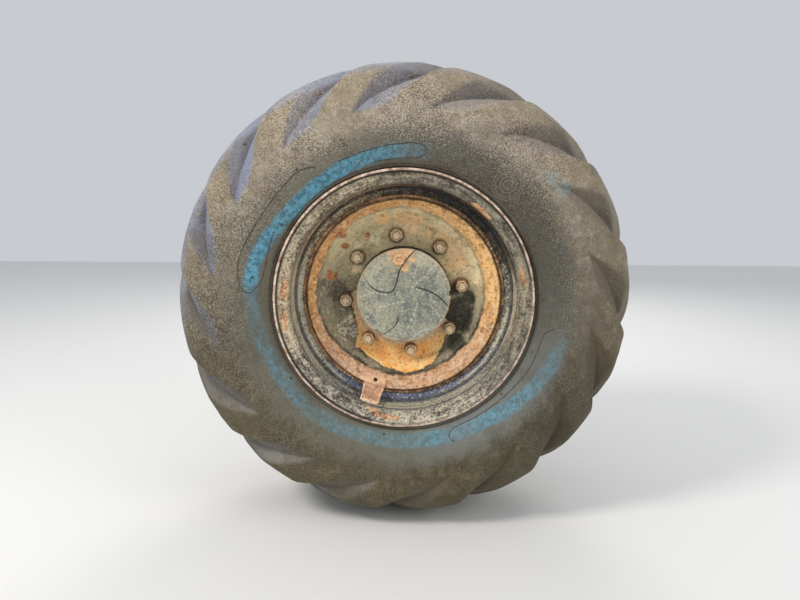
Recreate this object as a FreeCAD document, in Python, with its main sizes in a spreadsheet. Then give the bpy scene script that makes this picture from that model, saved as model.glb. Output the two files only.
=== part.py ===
import FreeCAD, Part
import os
import Sketcher

# Front wheel of a site dumper on the end of its axle, in millimetres.
# The axle lies along Y and the wheel is at -Y. +Z is up.
# The origin is the centre of the arm's inboard flange, where the arm bolts to the axle's middle.

os.makedirs("parts", exist_ok=True)
doc = FreeCAD.newDocument("DumperWheel")
sheet = doc.addObject("Spreadsheet::Sheet", "Sizes")
V = FreeCAD.Vector
AXLE = V(0, 1, 0)

# Sizes: name, value in millimetres or degrees or the sizes that it follows, and what it is
SIZES = (
    ("wheel_plane", 430, "from the arm's flange out to the wheel's centre plane"),
    ("fit_gap", 0.3, "clearance between pieces that seat on each other"),
    ("run_gap", 6, "clearance between turning and fixed pieces"),
    # Tyre
    ("tread_radius", 522, "radius over the worn lugs at the middle of the tread"),
    ("tread_flat", 70, "half the width of the tread's middle, before it curves down"),
    ("crown_drop", 34, "how far the tread curves down to its edges"),
    ("crown_edge_radius", "tread_radius - crown_drop", "radius where the tread meets the shoulder"),
    ("tread_half", 168, "half the width of the tread"),
    ("shoulder_drop", 36, "height of the worn shoulder"),
    ("shoulder_radius", "crown_edge_radius - shoulder_drop", "radius at the foot of the worn shoulder"),
    ("section_half", 204, "half the section's width"),
    ("sidewall", "tread_radius - flange_radius", "height of the tyre over the rim's flange"),
    ("groove_foot_share", 0.524, "where the grooves begin, as a share of that height"),
    ("groove_foot_radius", "flange_radius + sidewall * groove_foot_share", "radius where the grooves begin"),
    ("lower_share", 0.344, "where the sidewall starts to narrow to the bead, as a share of that height"),
    ("lower_radius", "flange_radius + sidewall * lower_share", "radius where the sidewall starts to narrow"),
    ("bead_width", 26, "width of a bead on its seat"),
    ("tread_body", 42, "rubber between the tread's edge and the air space"),
    ("cavity_radius", "crown_edge_radius - tread_body", "radius of the air space under the tread"),
    ("groove_foot_depth", 4, "depth of a groove at its tip on the sidewall"),
    ("groove_edge_depth", 28, "depth of a groove under the tread's edge"),
    ("groove_corner_radius", "crown_edge_radius - groove_edge_depth", "height of a groove's floor there"),
    ("groove_corner_out", 180, "distance of that floor from the centre plane"),
    ("groove_middle_depth", 26, "depth of a groove at the middle of the tread"),
    ("groove_middle_radius", "tread_radius - groove_middle_depth", "height of a groove's floor at the middle"),
    ("lug_count", 16, "grooves on each side"),
    ("groove_phase", 8.8, "angle of the first groove's inner tip, anticlockwise from +X"),
    ("side_sweep", 11.4, "angle that a groove trails between its tip and the shoulder"),
    ("tread_sweep", 15, "angle that a groove trails between shoulder and middle"),
    ("groove_mouth", 72, "width of a groove at the shoulder"),
    ("groove_tip", 52, "width of a groove at its tip on the sidewall"),
    ("groove_end", 48, "width of a groove where it ends near the middle"),
    ("centre_rib", 14, "half width of the rib left at the middle"),
    # Rim
    ("seat_radius", 257.2, "outside radius of the bead seats"),
    ("rim_half", 165.1, "half the width between the flanges"),
    ("rim_wall", 8, "thickness of the rolled rim"),
    ("flange_height", 25.4, "height of the flanges over the bead seats"),
    ("flange_radius", "seat_radius + flange_height", "outside radius of the flanges"),
    ("lip_out", 13, "how far the flange's lip turns outward"),
    ("outer_foot", 78, "outboard end of the well's floor, from the centre plane"),
    ("inner_foot", 30, "inboard end of the well's floor, from the centre plane"),
    ("side_slope", 33, "slope of the well's sides, from square to the axle"),
    ("well_depth", 38.2, "depth of the well under the bead seats"),
    ("well_radius", "seat_radius - well_depth", "outside radius of the well"),
    ("valve_hole_gap", 0.4, "clearance round the valve in the rim"),
    # Disc
    ("disc_face", 34, "outboard face of the disc, from the centre plane"),
    ("disc_wall", 14, "thickness of the disc"),
    ("disc_flat_share", 0.63, "radius of the disc's flat middle, as a share of the bead seats'"),
    ("disc_flat_radius", "seat_radius * disc_flat_share", "radius of the flat middle of the disc"),
    ("band_drop", 32.2, "how far the disc's band ends inside the bead seats"),
    ("band_width", 29, "width of the disc's band"),
    ("band_inner_radius", "seat_radius - band_drop - band_width", "radius where the disc's wall meets its band"),
    ("band_radius", "seat_radius - band_drop", "outside radius of the disc's band, on the well's side"),
    ("disc_bore_radius", "spigot_radius + fit_gap", "radius of the disc's middle hole"),
    # Studs and nuts
    ("stud_count", 8, "wheel studs"),
    ("stud_margin", 24.5, "distance of the studs from the edge of the disc's flat middle"),
    ("stud_circle_radius", "disc_flat_radius - stud_margin", "radius of the stud circle"),
    ("stud_phase", 7.5, "angle of the first stud, anticlockwise from +X"),
    ("stud_radius", 9, "radius of a stud"),
    ("stud_clearance", 1.2, "clearance round a stud in the disc"),
    ("stud_tip", 6, "length of stud beyond the nut"),
    ("stud_head_radius", 13, "radius of a stud's head"),
    ("stud_head", 8, "thickness of a stud's head"),
    ("nut_flats", 27, "nut size across the flats"),
    ("nut_height", 23, "height of a nut with its collar"),
    ("collar_radius", 16.5, "radius of the nut's collar"),
    ("collar_height", 6, "height of the nut's collar"),
    # Hub
    ("hub_flange_radius", "disc_flat_radius", "radius of the hub's stud flange"),
    ("hub_flange", 20, "thickness of the hub's stud flange"),
    ("spigot_margin", 27.3, "distance of the studs from the hub's spigot"),
    ("spigot_radius", "stud_circle_radius - spigot_margin", "radius of the hub's spigot in the disc"),
    ("drum_step", 50, "step from the stud flange down to the hub's drum"),
    ("drum_radius", "hub_flange_radius - drum_step", "radius of the hub's drum behind the flange"),
    ("drum_length", 105, "length of the drum behind the flange"),
    ("cover_face", 88, "outboard face of the hub cover, from the centre plane"),
    ("cover_joint", 46, "where the cover meets the hub's spigot"),
    ("cover_step", 1.7, "step from the spigot down to the cover"),
    ("cover_radius", "spigot_radius - cover_step", "radius of the hub cover"),
    ("cover_wall", 14, "thickness of the cover"),
    ("cover_edge", 3, "bevel round the cover's face"),
    ("notch_radius", 4.5, "radius of the notches in the cover's edge"),
    ("notch_offset", 1.5, "distance of a notch's centre outside the cover's edge"),
    ("notch_angle", 3, "angle of the first notch, anticlockwise from +X"),
    ("notch_spread", 232, "angle from the first notch to the second"),
    ("plug_radius", 13.5, "radius of the oil plug's collar"),
    ("plug_height", 5, "height of the oil plug's collar"),
    ("plug_socket", 12, "width of the hexagon socket in the oil plug"),
    ("plug_socket_depth", 8, "depth of the socket"),
    ("plug_thread_radius", 9, "radius of the oil plug's shank"),
    ("plug_shank", 12, "length of the oil plug's shank"),
    ("plug_margin", 24.5, "distance of the oil plug from the cover's edge"),
    ("plug_reach", "cover_radius - plug_margin", "distance of the oil plug from the axle line"),
    ("plug_angle", 98, "angle of the oil plug, anticlockwise from +X"),
    # Valve and its guard
    ("valve_angle", 252, "angle of the valve, anticlockwise from +X"),
    ("valve_drop", 19.2, "distance of the valve below the bead seats"),
    ("valve_seat_radius", "seat_radius - valve_drop", "distance of the valve from the axle line"),
    ("valve_radius", 7.5, "radius of the valve's body in the rim"),
    ("valve_collar", 6, "height of the valve's collar"),
    ("valve_flange", 3, "how far the valve's collar stands over its body"),
    ("valve_stem_radius", 5.5, "radius of the valve's stem"),
    ("valve_inside", 4, "how far the valve reaches inside the rim"),
    ("valve_length", 17, "length of the valve's stem"),
    ("guard_wall", 5, "thickness of the valve guard"),
    ("guard_width", 52, "width of the valve guard"),
    ("guard_slope", 52, "slope of the guard's shield, from square to the axle"),
    ("guard_inset", 3, "distance of the guard's foot from the inside of the disc's band"),
    ("bend_inset", 1, "distance of the guard's bend from the outside of the disc's band"),
    ("guard_hole_radius", 4, "radius of the hole in the guard's foot"),
    # Axle arm, spindle and half shaft
    ("flange_face_radius", 150, "radius of the arm's inboard flange"),
    ("flange_thick", 24, "thickness of the arm's inboard flange"),
    ("flange_bolt_count", 12, "bolt holes in the arm's flange"),
    ("flange_bolt_circle", 128, "radius of the bolt circle in the arm's flange"),
    ("flange_hole_radius", 7.5, "radius of a bolt hole in the arm's flange"),
    ("arm_root_radius", 104, "radius of the arm beside its flange"),
    ("arm_radius", 86, "radius of the arm's tube"),
    ("arm_flare", 18, "length of the flare at each end of the tube"),
    ("arm_wall", 20, "wall of the arm's tube"),
    ("throat_length", 60, "length of the arm's throat, where the half shaft runs"),
    ("rib_count", 6, "ribs between the arm and its flange"),
    ("rib_thick", 14, "thickness of a rib"),
    ("rib_length", 95, "length of a rib along the arm"),
    ("rib_edge", 12, "flange left outside the ribs"),
    ("seal_radius", 96, "radius of the arm's seal face"),
    ("seal_thick", 18, "thickness of the arm's seal face"),
    ("seal_margin", 30, "distance of the seal ring from the drum's edge"),
    ("seal_ring_radius", "drum_radius - seal_margin", "outside radius of the seal ring"),
    ("spindle_share", 0.518, "radius of the spindle, as a share of the hub drum's"),
    ("spindle_radius", "drum_radius * spindle_share", "radius of the spindle in the hub"),
    ("spindle_bore", 30, "radius of the bore through the spindle"),
    ("shaft_radius", 23, "radius of the half shaft"),
    ("spline_radius", 27, "radius over the half shaft's splines"),
    ("spline_count", 24, "splines on the half shaft"),
    ("spline_depth", 3, "depth of the half shaft's splines"),
    ("spline_root", 0.7, "width of the gap between splines at its root, as a share of half the pitch"),
    ("spline_mouth", 1.3, "width of the gap between splines at its mouth, as a share of half the pitch"),
    ("spline_length", 70, "length of the half shaft's splines"),
    ("shaft_reach", 46, "how far the half shaft stands out of the arm's flange"),
)

for row, (name, value, meaning) in enumerate(SIZES, start=1):
    sheet.set(f"A{row}", name)
    sheet.set(f"B{row}", "=" + value if isinstance(value, str) else str(value))
    sheet.set(f"C{row}", meaning)
    sheet.setAlias(f"B{row}", name)
doc.recompute()


def size(expression):
    """Value of an expression in the sheet's names."""
    return float(sheet.evalExpression(full(expression)))


NAMES = sorted((row[0] for row in SIZES), key=len, reverse=True)


def full(expression):
    """The same expression with each size's name preceded by the sheet's."""
    words = []
    word = ""
    for letter in str(expression) + " ":
        if letter.isalnum() or letter == "_":
            word += letter
            continue
        words.append(f"Sizes.{word}" if word in NAMES else word)
        words.append(letter)
        word = ""
    return "".join(words).strip()


def plane(body, role):
    """One of the body's own origin planes."""
    return next(f for f in body.Origin.OriginFeatures if f.Role == role)


def outline(body, name, corners, role="YZ_Plane"):
    """Closed sketch of straight edges through corners given as pairs of expressions."""
    sketch = body.newObject("Sketcher::SketchObject", name)
    sketch.AttachmentSupport = (plane(body, role), [""])
    sketch.MapMode = "FlatFace"
    places = [V(size(across), size(up), 0) for across, up in corners]
    total = len(corners)
    for i in range(total):
        sketch.addGeometry(Part.LineSegment(places[i], places[(i + 1) % total]), False)
    for i in range(total):
        sketch.addConstraint(Sketcher.Constraint("Coincident", i, 2, (i + 1) % total, 1))
    for i, corner in enumerate(corners):
        for way, kind in enumerate(("DistanceX", "DistanceY")):
            rule = sketch.addConstraint(Sketcher.Constraint(kind, -1, 1, i, 1, places[i][way]))
            sketch.setExpression(f"Constraints[{rule}]", full(corner[way]))
    return sketch


def turned(label, corners, plane_offset=None, angle=None):
    """Body of one revolution about the axle, from corners (along the axle, radius)."""
    body = doc.addObject("PartDesign::Body", label)
    body.Label = label
    sketch = outline(body, label + "_outline", corners)
    doc.recompute()
    turn = body.newObject("PartDesign::Revolution", label + "_turn")
    turn.Profile = sketch
    turn.ReferenceAxis = (sketch, ["H_Axis"])
    turn.Angle = 360
    doc.recompute()
    place(body, plane_offset, angle)
    return body


def place(body, plane_offset=None, angle=None):
    """Put a body at its distance along the axle, turned about it."""
    if angle is not None:
        body.Placement = FreeCAD.Placement(V(0, 0, 0), FreeCAD.Rotation(AXLE, -1))
        body.setExpression("Placement.Rotation.Angle", f"-({full(angle)}) * 1 deg")
    if plane_offset is not None:
        body.setExpression("Placement.Base.y", full(plane_offset))
    doc.recompute()


def holes(body, name, circle, radius, count, phase):
    """Round holes through the body along the axle, evenly spaced on a circle."""
    sketch = body.newObject("Sketcher::SketchObject", name + "_outline")
    sketch.AttachmentSupport = (plane(body, "XZ_Plane"), [""])
    sketch.MapMode = "FlatFace"
    across = f"({circle}) * cos(({phase}) * 1 deg)"
    up = f"({circle}) * sin(({phase}) * 1 deg)"
    sketch.addGeometry(Part.Circle(V(size(across), size(up), 0), V(0, 0, 1), size(radius)), False)
    rules = (
        (Sketcher.Constraint("DistanceX", -1, 1, 0, 3, size(across)), across),
        (Sketcher.Constraint("DistanceY", -1, 1, 0, 3, size(up)), up),
        (Sketcher.Constraint("Radius", 0, size(radius)), radius),
    )
    for constraint, expression in rules:
        rule = sketch.addConstraint(constraint)
        sketch.setExpression(f"Constraints[{rule}]", full(expression))
    doc.recompute()
    cut = body.newObject("PartDesign::Pocket", name)
    cut.Profile = sketch
    cut.SideType = "Symmetric"
    cut.Type = "ThroughAll"
    doc.recompute()
    ring(body, cut, count)


def ring(body, feature, count):
    """Repeat a feature evenly about the axle."""
    pattern = body.newObject("PartDesign::PolarPattern", feature.Name + "_ring")
    pattern.Originals = [feature]
    pattern.Axis = (next(f for f in body.Origin.OriginFeatures if f.Role == "Y_Axis"), [""])
    pattern.Angle = 360
    pattern.Occurrences = round(size(count))
    pattern.setExpression("Occurrences", full(count))
    body.Tip = pattern
    doc.recompute()


def make_tyre():
    """Tyre with swept lugs: a turned carcass, cut by grooves that trail from sidewall to tread."""
    half = [
        ("-(rim_half - bead_width)", "cavity_radius"),
        ("-(rim_half - bead_width)", "seat_radius + fit_gap"),
        ("-(rim_half - fit_gap)", "seat_radius + fit_gap"),
        ("-(rim_half - fit_gap)", "flange_radius"),
        ("-section_half", "lower_radius"),
        ("-section_half", "shoulder_radius"),
        ("-tread_half", "crown_edge_radius"),
        ("-tread_flat", "tread_radius"),
    ]
    other = [(mirrored(c[0]), c[1]) for c in reversed(half)]
    blank = turned("tyre_blank", half + other)

    # In the groove's own frame the shoulder of the tyre is at +Z and the groove trails across X.
    trail = "crown_edge_radius * tan(tread_sweep / 2 * 1 deg)"
    left = f"-({trail}) - groove_mouth / 2"
    right = f"-({trail}) + groove_mouth / 2"
    tip_angle = "90 + tread_sweep / 2 + side_sweep"
    tip_turn = "groove_tip / 2 / groove_foot_radius * 180 / pi"
    top = "(tread_radius * 2 - crown_edge_radius)"
    side = prism("groove_side", "XZ_Plane", [
        polar("groove_foot_radius", f"{tip_angle} - {tip_turn}"),
        (right, "groove_corner_radius"),
        (right, top),
        (left, top),
        (left, "groove_corner_radius"),
        polar("groove_foot_radius", f"{tip_angle} + {tip_turn}"),
    ], "section_half - tread_flat", "tread_half")
    tread = prism("groove_tread", "XY_Plane", [
        (left, "-tread_half"),
        (right, "-tread_half"),
        (f"{trail} + groove_end / 2", "-centre_rib"),
        (f"{trail} - groove_end / 2", "-centre_rib"),
    ], top)
    both = joined("groove_outline", "Part::Fuse", side, tread)
    fall = "(section_half - groove_foot_depth - groove_corner_out)"
    slope = f"{fall} / (groove_corner_radius - groove_foot_radius)"
    low = "groove_foot_radius / 2"
    zone = prism("groove_depth", "YZ_Plane", [
        (f"-(groove_corner_out + (groove_corner_radius - {low}) * {slope})", low),
        ("-groove_corner_out", "groove_corner_radius"),
        ("0", "groove_middle_radius"),
        ("0", top),
        ("-section_half * 2", top),
        ("-section_half * 2", low),
    ], "tread_radius * 2", symmetric=True)
    void = joined("groove_void", "Part::Common", both, zone)

    # The void's own tip is at 90 + tread_sweep / 2 + side_sweep, so it turns from there to the first groove.
    start = size("groove_phase - 90 - tread_sweep / 2 - side_sweep")
    count = round(size("lug_count"))
    pitch = 360 / count
    facing = void.Shape.mirror(V(0, 0, 0), AXLE)
    voids = []
    for i in range(count):
        for shape, shift in ((void.Shape, 0), (facing, pitch / 2)):
            copy = shape.copy()
            copy.rotate(V(0, 0, 0), AXLE, -(start + i * pitch + shift))
            voids.append(copy)
    grooves = doc.addObject("Part::Feature", "grooves")
    grooves.Shape = Part.makeCompound(voids)
    tyre = joined("tyre", "Part::Cut", blank, grooves)
    tyre.setExpression("Placement.Base.y", full("-wheel_plane"))
    doc.recompute()
    return tyre


def prism(label, role, corners, length, start=None, symmetric=False):
    """Body padded from an outline on one of its planes, or from a plane moved out by start."""
    body = doc.addObject("PartDesign::Body", label)
    body.Label = label
    sketch = outline(body, label + "_outline", corners, role)
    if start is not None:
        sketch.setExpression("AttachmentOffset.Base.z", full(start))
    doc.recompute()
    pad = body.newObject("PartDesign::Pad", label + "_pad")
    pad.Profile = sketch
    if symmetric:
        pad.SideType = "Symmetric"
    pad.setExpression("Length", full(length))
    doc.recompute()
    return body


def joined(label, kind, base, tool):
    """Boolean of two objects."""
    thing = doc.addObject(kind, label)
    thing.Label = label
    thing.Base = base
    thing.Tool = tool
    doc.recompute()
    return thing


def mirrored(expression):
    """The same place on the other side of the centre plane."""
    return expression[1:] if expression.startswith("-") else "-(" + expression + ")"


def polar(radius, angle):
    """Corner at a radius and an angle."""
    return f"{radius} * cos(({angle}) * 1 deg)", f"{radius} * sin(({angle}) * 1 deg)"


SLOPE = "tan(side_slope * 1 deg)"
OUTER_KNEE = f"(outer_foot + (seat_radius - well_radius) * {SLOPE})"
INNER_KNEE = f"(inner_foot + (seat_radius - well_radius) * {SLOPE})"
INSET = "rim_wall * tan((90 - side_slope) / 2 * 1 deg)"


def make_rim():
    """Rolled drop-centre rim in one section, with turned-out lips and a hole for the valve."""
    half = [
        ("-outer_foot", "well_radius"),
        (f"-{OUTER_KNEE}", "seat_radius"),
        ("-rim_half", "seat_radius"),
        ("-rim_half", "flange_radius"),
        ("-(rim_half + lip_out)", "flange_radius"),
        ("-(rim_half + lip_out)", "flange_radius - rim_wall"),
        ("-(rim_half + rim_wall)", "flange_radius - rim_wall"),
        ("-(rim_half + rim_wall)", "seat_radius - rim_wall"),
        (f"-({OUTER_KNEE} + {INSET})", "seat_radius - rim_wall"),
        (f"-(outer_foot + {INSET})", "well_radius - rim_wall"),
    ]
    other = []
    for along, radius in reversed(half):
        along = along.replace(OUTER_KNEE, INNER_KNEE).replace("outer_foot", "inner_foot")
        other.append((mirrored(along), radius))
    blank = turned("rim_blank", half + other)
    drill = turned("valve_drill", [
        ("rim_wall * 2", "0"),
        ("rim_wall * 2", "valve_radius + valve_hole_gap"),
        ("-rim_wall * 2", "valve_radius + valve_hole_gap"),
        ("-rim_wall * 2", "0"),
    ])
    on_well_side(drill, "valve_seat_radius")
    rim = joined("rim", "Part::Cut", blank, drill)
    rim.setExpression("Placement.Base.y", full("-wheel_plane"))
    doc.recompute()
    return rim


def on_well_side(body, radius, along="0"):
    """Stand a body turned about Y on the well's outboard side, square to it, at the valve's angle."""
    slope = size("side_slope")
    reach = size(radius)
    depth = size(f"outer_foot + {INSET} + (({radius}) - well_radius + rim_wall) * {SLOPE}")
    around = FreeCAD.Rotation(AXLE, -size("valve_angle"))
    lean = around * FreeCAD.Rotation(V(0, 0, 1), -slope)
    foot = around.multVec(V(reach, 0, 0)) + V(0, -depth - size(along), 0)
    body.Placement = FreeCAD.Placement(foot, lean)
    doc.recompute()


def well_side(radius):
    """How far out the disc's band lies on the well's side at a radius."""
    rise = f"(({radius}) - well_radius + rim_wall) * {SLOPE}"
    return f"(outer_foot + {INSET} + {rise} + fit_gap / cos(side_slope * 1 deg))"


def make_disc():
    """Dished disc pressed from plate: flat middle, steep wall, and a band that lies on the well's side."""
    front = f"({well_side('band_inner_radius')} + disc_wall / cos(side_slope * 1 deg))"
    steep = f"atan(({front} - disc_face) / (band_inner_radius - disc_flat_radius))"
    mean = f"(({steep} + side_slope * 1 deg) / 2)"
    spread = f"cos(({steep} - side_slope * 1 deg) / 2)"
    corners = [
        ("-disc_face", "disc_bore_radius"),
        ("-disc_face", "disc_flat_radius"),
        (f"-{front}", "band_inner_radius"),
        (
            f"-({well_side('band_radius')} + disc_wall * cos(side_slope * 1 deg))",
            "band_radius - disc_wall * sin(side_slope * 1 deg)",
        ),
        (f"-{well_side('band_radius')}", "band_radius"),
        (
            f"-({front} - disc_wall * cos{mean} / {spread})",
            f"band_inner_radius + disc_wall * sin{mean} / {spread}",
        ),
        ("-(disc_face - disc_wall)", f"disc_flat_radius + disc_wall * tan({steep} / 2)"),
        ("-(disc_face - disc_wall)", "disc_bore_radius"),
    ]
    disc = turned("wheel_disc", corners, "-wheel_plane")
    holes(disc, "stud_holes", "stud_circle_radius", "stud_radius + stud_clearance", "stud_count",
          "stud_phase")
    return disc


FLANGE_BACK = "-(disc_face - disc_wall - hub_flange)"


def make_hub():
    """Hub: spigot through the disc, stud flange, and a drum that runs on the spindle."""
    end = f"{FLANGE_BACK} + drum_length"
    corners = [
        ("-cover_joint", "0"),
        ("-cover_joint", "spigot_radius"),
        ("-(disc_face - disc_wall)", "spigot_radius"),
        ("-(disc_face - disc_wall)", "hub_flange_radius"),
        (FLANGE_BACK, "hub_flange_radius"),
        (FLANGE_BACK, "drum_radius"),
        (end, "drum_radius"),
        (end, "spindle_radius + fit_gap"),
        ("-(disc_face - disc_wall) - run_gap", "spindle_radius + fit_gap"),
        ("-(disc_face - disc_wall) - run_gap", "0"),
    ]
    hub = turned("hub", corners, "-wheel_plane")
    holes(hub, "hub_stud_holes", "stud_circle_radius", "stud_radius + fit_gap", "stud_count", "stud_phase")
    return hub


def make_cover():
    """Hub cover: a deep round cap with a flat face, notches for prising it off, and the oil plug's hole."""
    corners = [
        ("-cover_face", "0"),
        ("-cover_face", "cover_radius - cover_edge"),
        ("-(cover_face - cover_edge)", "cover_radius"),
        ("-(cover_joint + fit_gap)", "cover_radius"),
        ("-(cover_joint + fit_gap)", "cover_radius - cover_wall"),
        ("-(cover_face - cover_wall)", "cover_radius - cover_wall"),
        ("-(cover_face - cover_wall)", "0"),
    ]
    cover = turned("hub_cover", corners, "-wheel_plane")
    holes(cover, "plug_hole", "plug_reach", "plug_thread_radius + fit_gap", "1", "plug_angle")
    for name, angle in (("right_notch", "notch_angle"), ("left_notch", "notch_angle + notch_spread")):
        holes(cover, name, "cover_radius + notch_offset", "notch_radius", "1", angle)
    return cover


def make_plug():
    """Oil plug with a round collar, a threaded shank in the cover and a hexagon socket."""
    under = "-(cover_face + fit_gap)"
    top = "-(cover_face + plug_height)"
    plug = turned("oil_plug", [
        ("-(cover_face - plug_shank)", "0"),
        ("-(cover_face - plug_shank)", "plug_thread_radius"),
        (under, "plug_thread_radius"),
        (under, "plug_radius"),
        (top, "plug_radius"),
        (top, "0"),
    ])
    sketch = outline(plug, "socket_outline", hexagon("plug_socket"), "XZ_Plane")
    sketch.setExpression("AttachmentOffset.Base.z", full("cover_face + plug_height"))
    doc.recompute()
    cut = plug.newObject("PartDesign::Pocket", "socket")
    cut.Profile = sketch
    cut.setExpression("Length", full("plug_socket_depth"))
    doc.recompute()
    plug.setExpression("Placement.Base.x", full("plug_reach * cos(plug_angle * 1 deg)"))
    plug.setExpression("Placement.Base.z", full("plug_reach * sin(plug_angle * 1 deg)"))
    plug.setExpression("Placement.Base.y", full("-wheel_plane"))
    doc.recompute()
    return plug


def hexagon(flats):
    """Corners of a hexagon that is flats wide."""
    return [polar(f"({flats}) / sqrt(3)", f"{60 * i}") for i in range(6)]


def ringed(label, model, circle, count, phase):
    """One node of like solids on a circle about the axle, from a model centred on the axle line."""
    total = round(size(count))
    copies = []
    for i in range(total):
        copy = model.Shape.copy()
        copy.translate(V(size(circle), 0, 0))
        copy.rotate(V(0, 0, 0), AXLE, -(size(phase) + i * 360 / total))
        copies.append(copy)
    node = doc.addObject("Part::Feature", label)
    node.Label = label
    node.Shape = Part.makeCompound(copies)
    node.Placement = FreeCAD.Placement(V(0, -size("wheel_plane"), 0), FreeCAD.Rotation())
    return node


def make_nuts():
    """Wheel nuts with a round collar, one on each stud."""
    collar = turned("nut_collar", [
        ("-(disc_face + fit_gap)", "stud_radius + fit_gap"),
        ("-(disc_face + fit_gap)", "collar_radius"),
        ("-(disc_face + collar_height)", "collar_radius"),
        ("-(disc_face + collar_height)", "stud_radius + fit_gap"),
    ])
    hexed = prism("nut_hexagon", "XZ_Plane", hexagon("nut_flats"), "disc_face + nut_height")
    bored = turned("nut_sleeve", [
        ("-(disc_face + collar_height)", "stud_radius + fit_gap"),
        ("-(disc_face + collar_height)", "nut_flats"),
        ("-(disc_face + nut_height)", "nut_flats"),
        ("-(disc_face + nut_height)", "stud_radius + fit_gap"),
    ])
    crown = joined("nut_crown", "Part::Common", hexed, bored)
    nut = joined("nut", "Part::Fuse", collar, crown)
    return ringed("wheel_nuts", nut, "stud_circle_radius", "stud_count", "stud_phase")


def make_studs():
    """Wheel studs, headed behind the hub's flange."""
    back = f"{FLANGE_BACK} + fit_gap"
    stud = turned("stud", [
        (f"{back} + stud_head", "0"),
        (f"{back} + stud_head", "stud_head_radius"),
        (back, "stud_head_radius"),
        (back, "stud_radius"),
        ("-(disc_face + nut_height + stud_tip)", "stud_radius"),
        ("-(disc_face + nut_height + stud_tip)", "0"),
    ])
    return ringed("wheel_studs", stud, "stud_circle_radius", "stud_count", "stud_phase")


SEAL_FACE = f"-(wheel_plane - drum_length - run_gap) + {FLANGE_BACK}"


def make_arm():
    """Cast axle arm: bolting flange, tube with ribs, and the seal face behind the hub."""
    seal_back = f"{SEAL_FACE} + seal_thick"
    throat = f"{SEAL_FACE} + throat_length"
    corners = [
        ("0", "flange_face_radius"),
        ("-flange_thick", "flange_face_radius"),
        ("-flange_thick", "arm_root_radius"),
        ("-(flange_thick + arm_flare)", "arm_radius"),
        (f"{seal_back} + arm_flare", "arm_radius"),
        (seal_back, "seal_radius"),
        (SEAL_FACE, "seal_radius"),
        (SEAL_FACE, "shaft_radius + fit_gap"),
        (throat, "shaft_radius + fit_gap"),
        (throat, "arm_radius - arm_wall"),
        ("0", "arm_radius - arm_wall"),
    ]
    arm = turned("axle_arm", corners)
    holes(arm, "flange_holes", "flange_bolt_circle", "flange_hole_radius", "flange_bolt_count",
          "180 / flange_bolt_count")
    rib = outline(arm, "rib_outline", [
        ("-flange_thick / 2", "arm_radius - arm_wall / 2"),
        ("-flange_thick / 2", "flange_face_radius - rib_edge"),
        ("-flange_thick", "flange_face_radius - rib_edge"),
        ("-(flange_thick + rib_length)", "arm_radius - arm_wall / 2"),
    ])
    doc.recompute()
    pad = arm.newObject("PartDesign::Pad", "rib")
    pad.Profile = rib
    pad.SideType = "Symmetric"
    pad.setExpression("Length", full("rib_thick"))
    doc.recompute()
    ring(arm, pad, "rib_count")
    return arm


def make_seal():
    """Ring round the spindle that closes the gap between the arm's seal face and the drum."""
    corners = [
        (f"{SEAL_FACE} - fit_gap", "spindle_radius + fit_gap"),
        (f"{SEAL_FACE} - fit_gap", "seal_ring_radius"),
        (f"{SEAL_FACE} - run_gap + fit_gap", "seal_ring_radius"),
        (f"{SEAL_FACE} - run_gap + fit_gap", "spindle_radius + fit_gap"),
    ]
    return turned("seal_ring", corners)


def make_spindle():
    """Hollow spindle that carries the hub's bearings, standing out of the arm's seal face."""
    end = "-(wheel_plane + disc_face - disc_wall)"
    corners = [
        (f"{SEAL_FACE} - fit_gap", "spindle_bore"),
        (f"{SEAL_FACE} - fit_gap", "spindle_radius"),
        (end, "spindle_radius"),
        (end, "spindle_bore"),
    ]
    return turned("spindle", corners)


def make_shaft():
    """Half shaft through the arm, splined where it enters the axle's middle."""
    end = "-(wheel_plane + disc_face - disc_wall)"
    corners = [
        (end, "0"),
        (end, "shaft_radius"),
        ("shaft_reach - spline_length", "shaft_radius"),
        ("shaft_reach - spline_length", "spline_radius"),
        ("shaft_reach", "spline_radius"),
        ("shaft_reach", "0"),
    ]
    shaft = turned("half_shaft", corners)
    gap = "spline_radius * pi / spline_count / 2"
    sketch = outline(shaft, "spline_outline", [
        ("spline_radius - spline_depth", f"-({gap}) * spline_root"),
        ("spline_radius + spline_depth", f"-({gap}) * spline_mouth"),
        ("spline_radius + spline_depth", f"({gap}) * spline_mouth"),
        ("spline_radius - spline_depth", f"({gap}) * spline_root"),
    ], "XZ_Plane")
    sketch.setExpression("AttachmentOffset.Base.z", full("-shaft_reach"))
    doc.recompute()
    cut = shaft.newObject("PartDesign::Pocket", "spline")
    cut.Profile = sketch
    cut.Reversed = True
    cut.setExpression("Length", full("spline_length"))
    doc.recompute()
    ring(shaft, cut, "spline_count")
    return shaft


def make_valve():
    """Valve through the well's outboard side: a collar on the rim and a stem on each side of it."""
    valve = turned("valve", [
        ("rim_wall + valve_inside", "0"),
        ("rim_wall + valve_inside", "valve_radius"),
        ("-fit_gap", "valve_radius"),
        ("-fit_gap", "valve_radius + valve_flange"),
        ("-valve_collar", "valve_radius + valve_flange"),
        ("-valve_collar", "valve_stem_radius"),
        ("-valve_length", "valve_stem_radius"),
        ("-valve_length", "0"),
    ])
    on_well_side(valve, "valve_seat_radius", "wheel_plane")
    return valve


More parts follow.
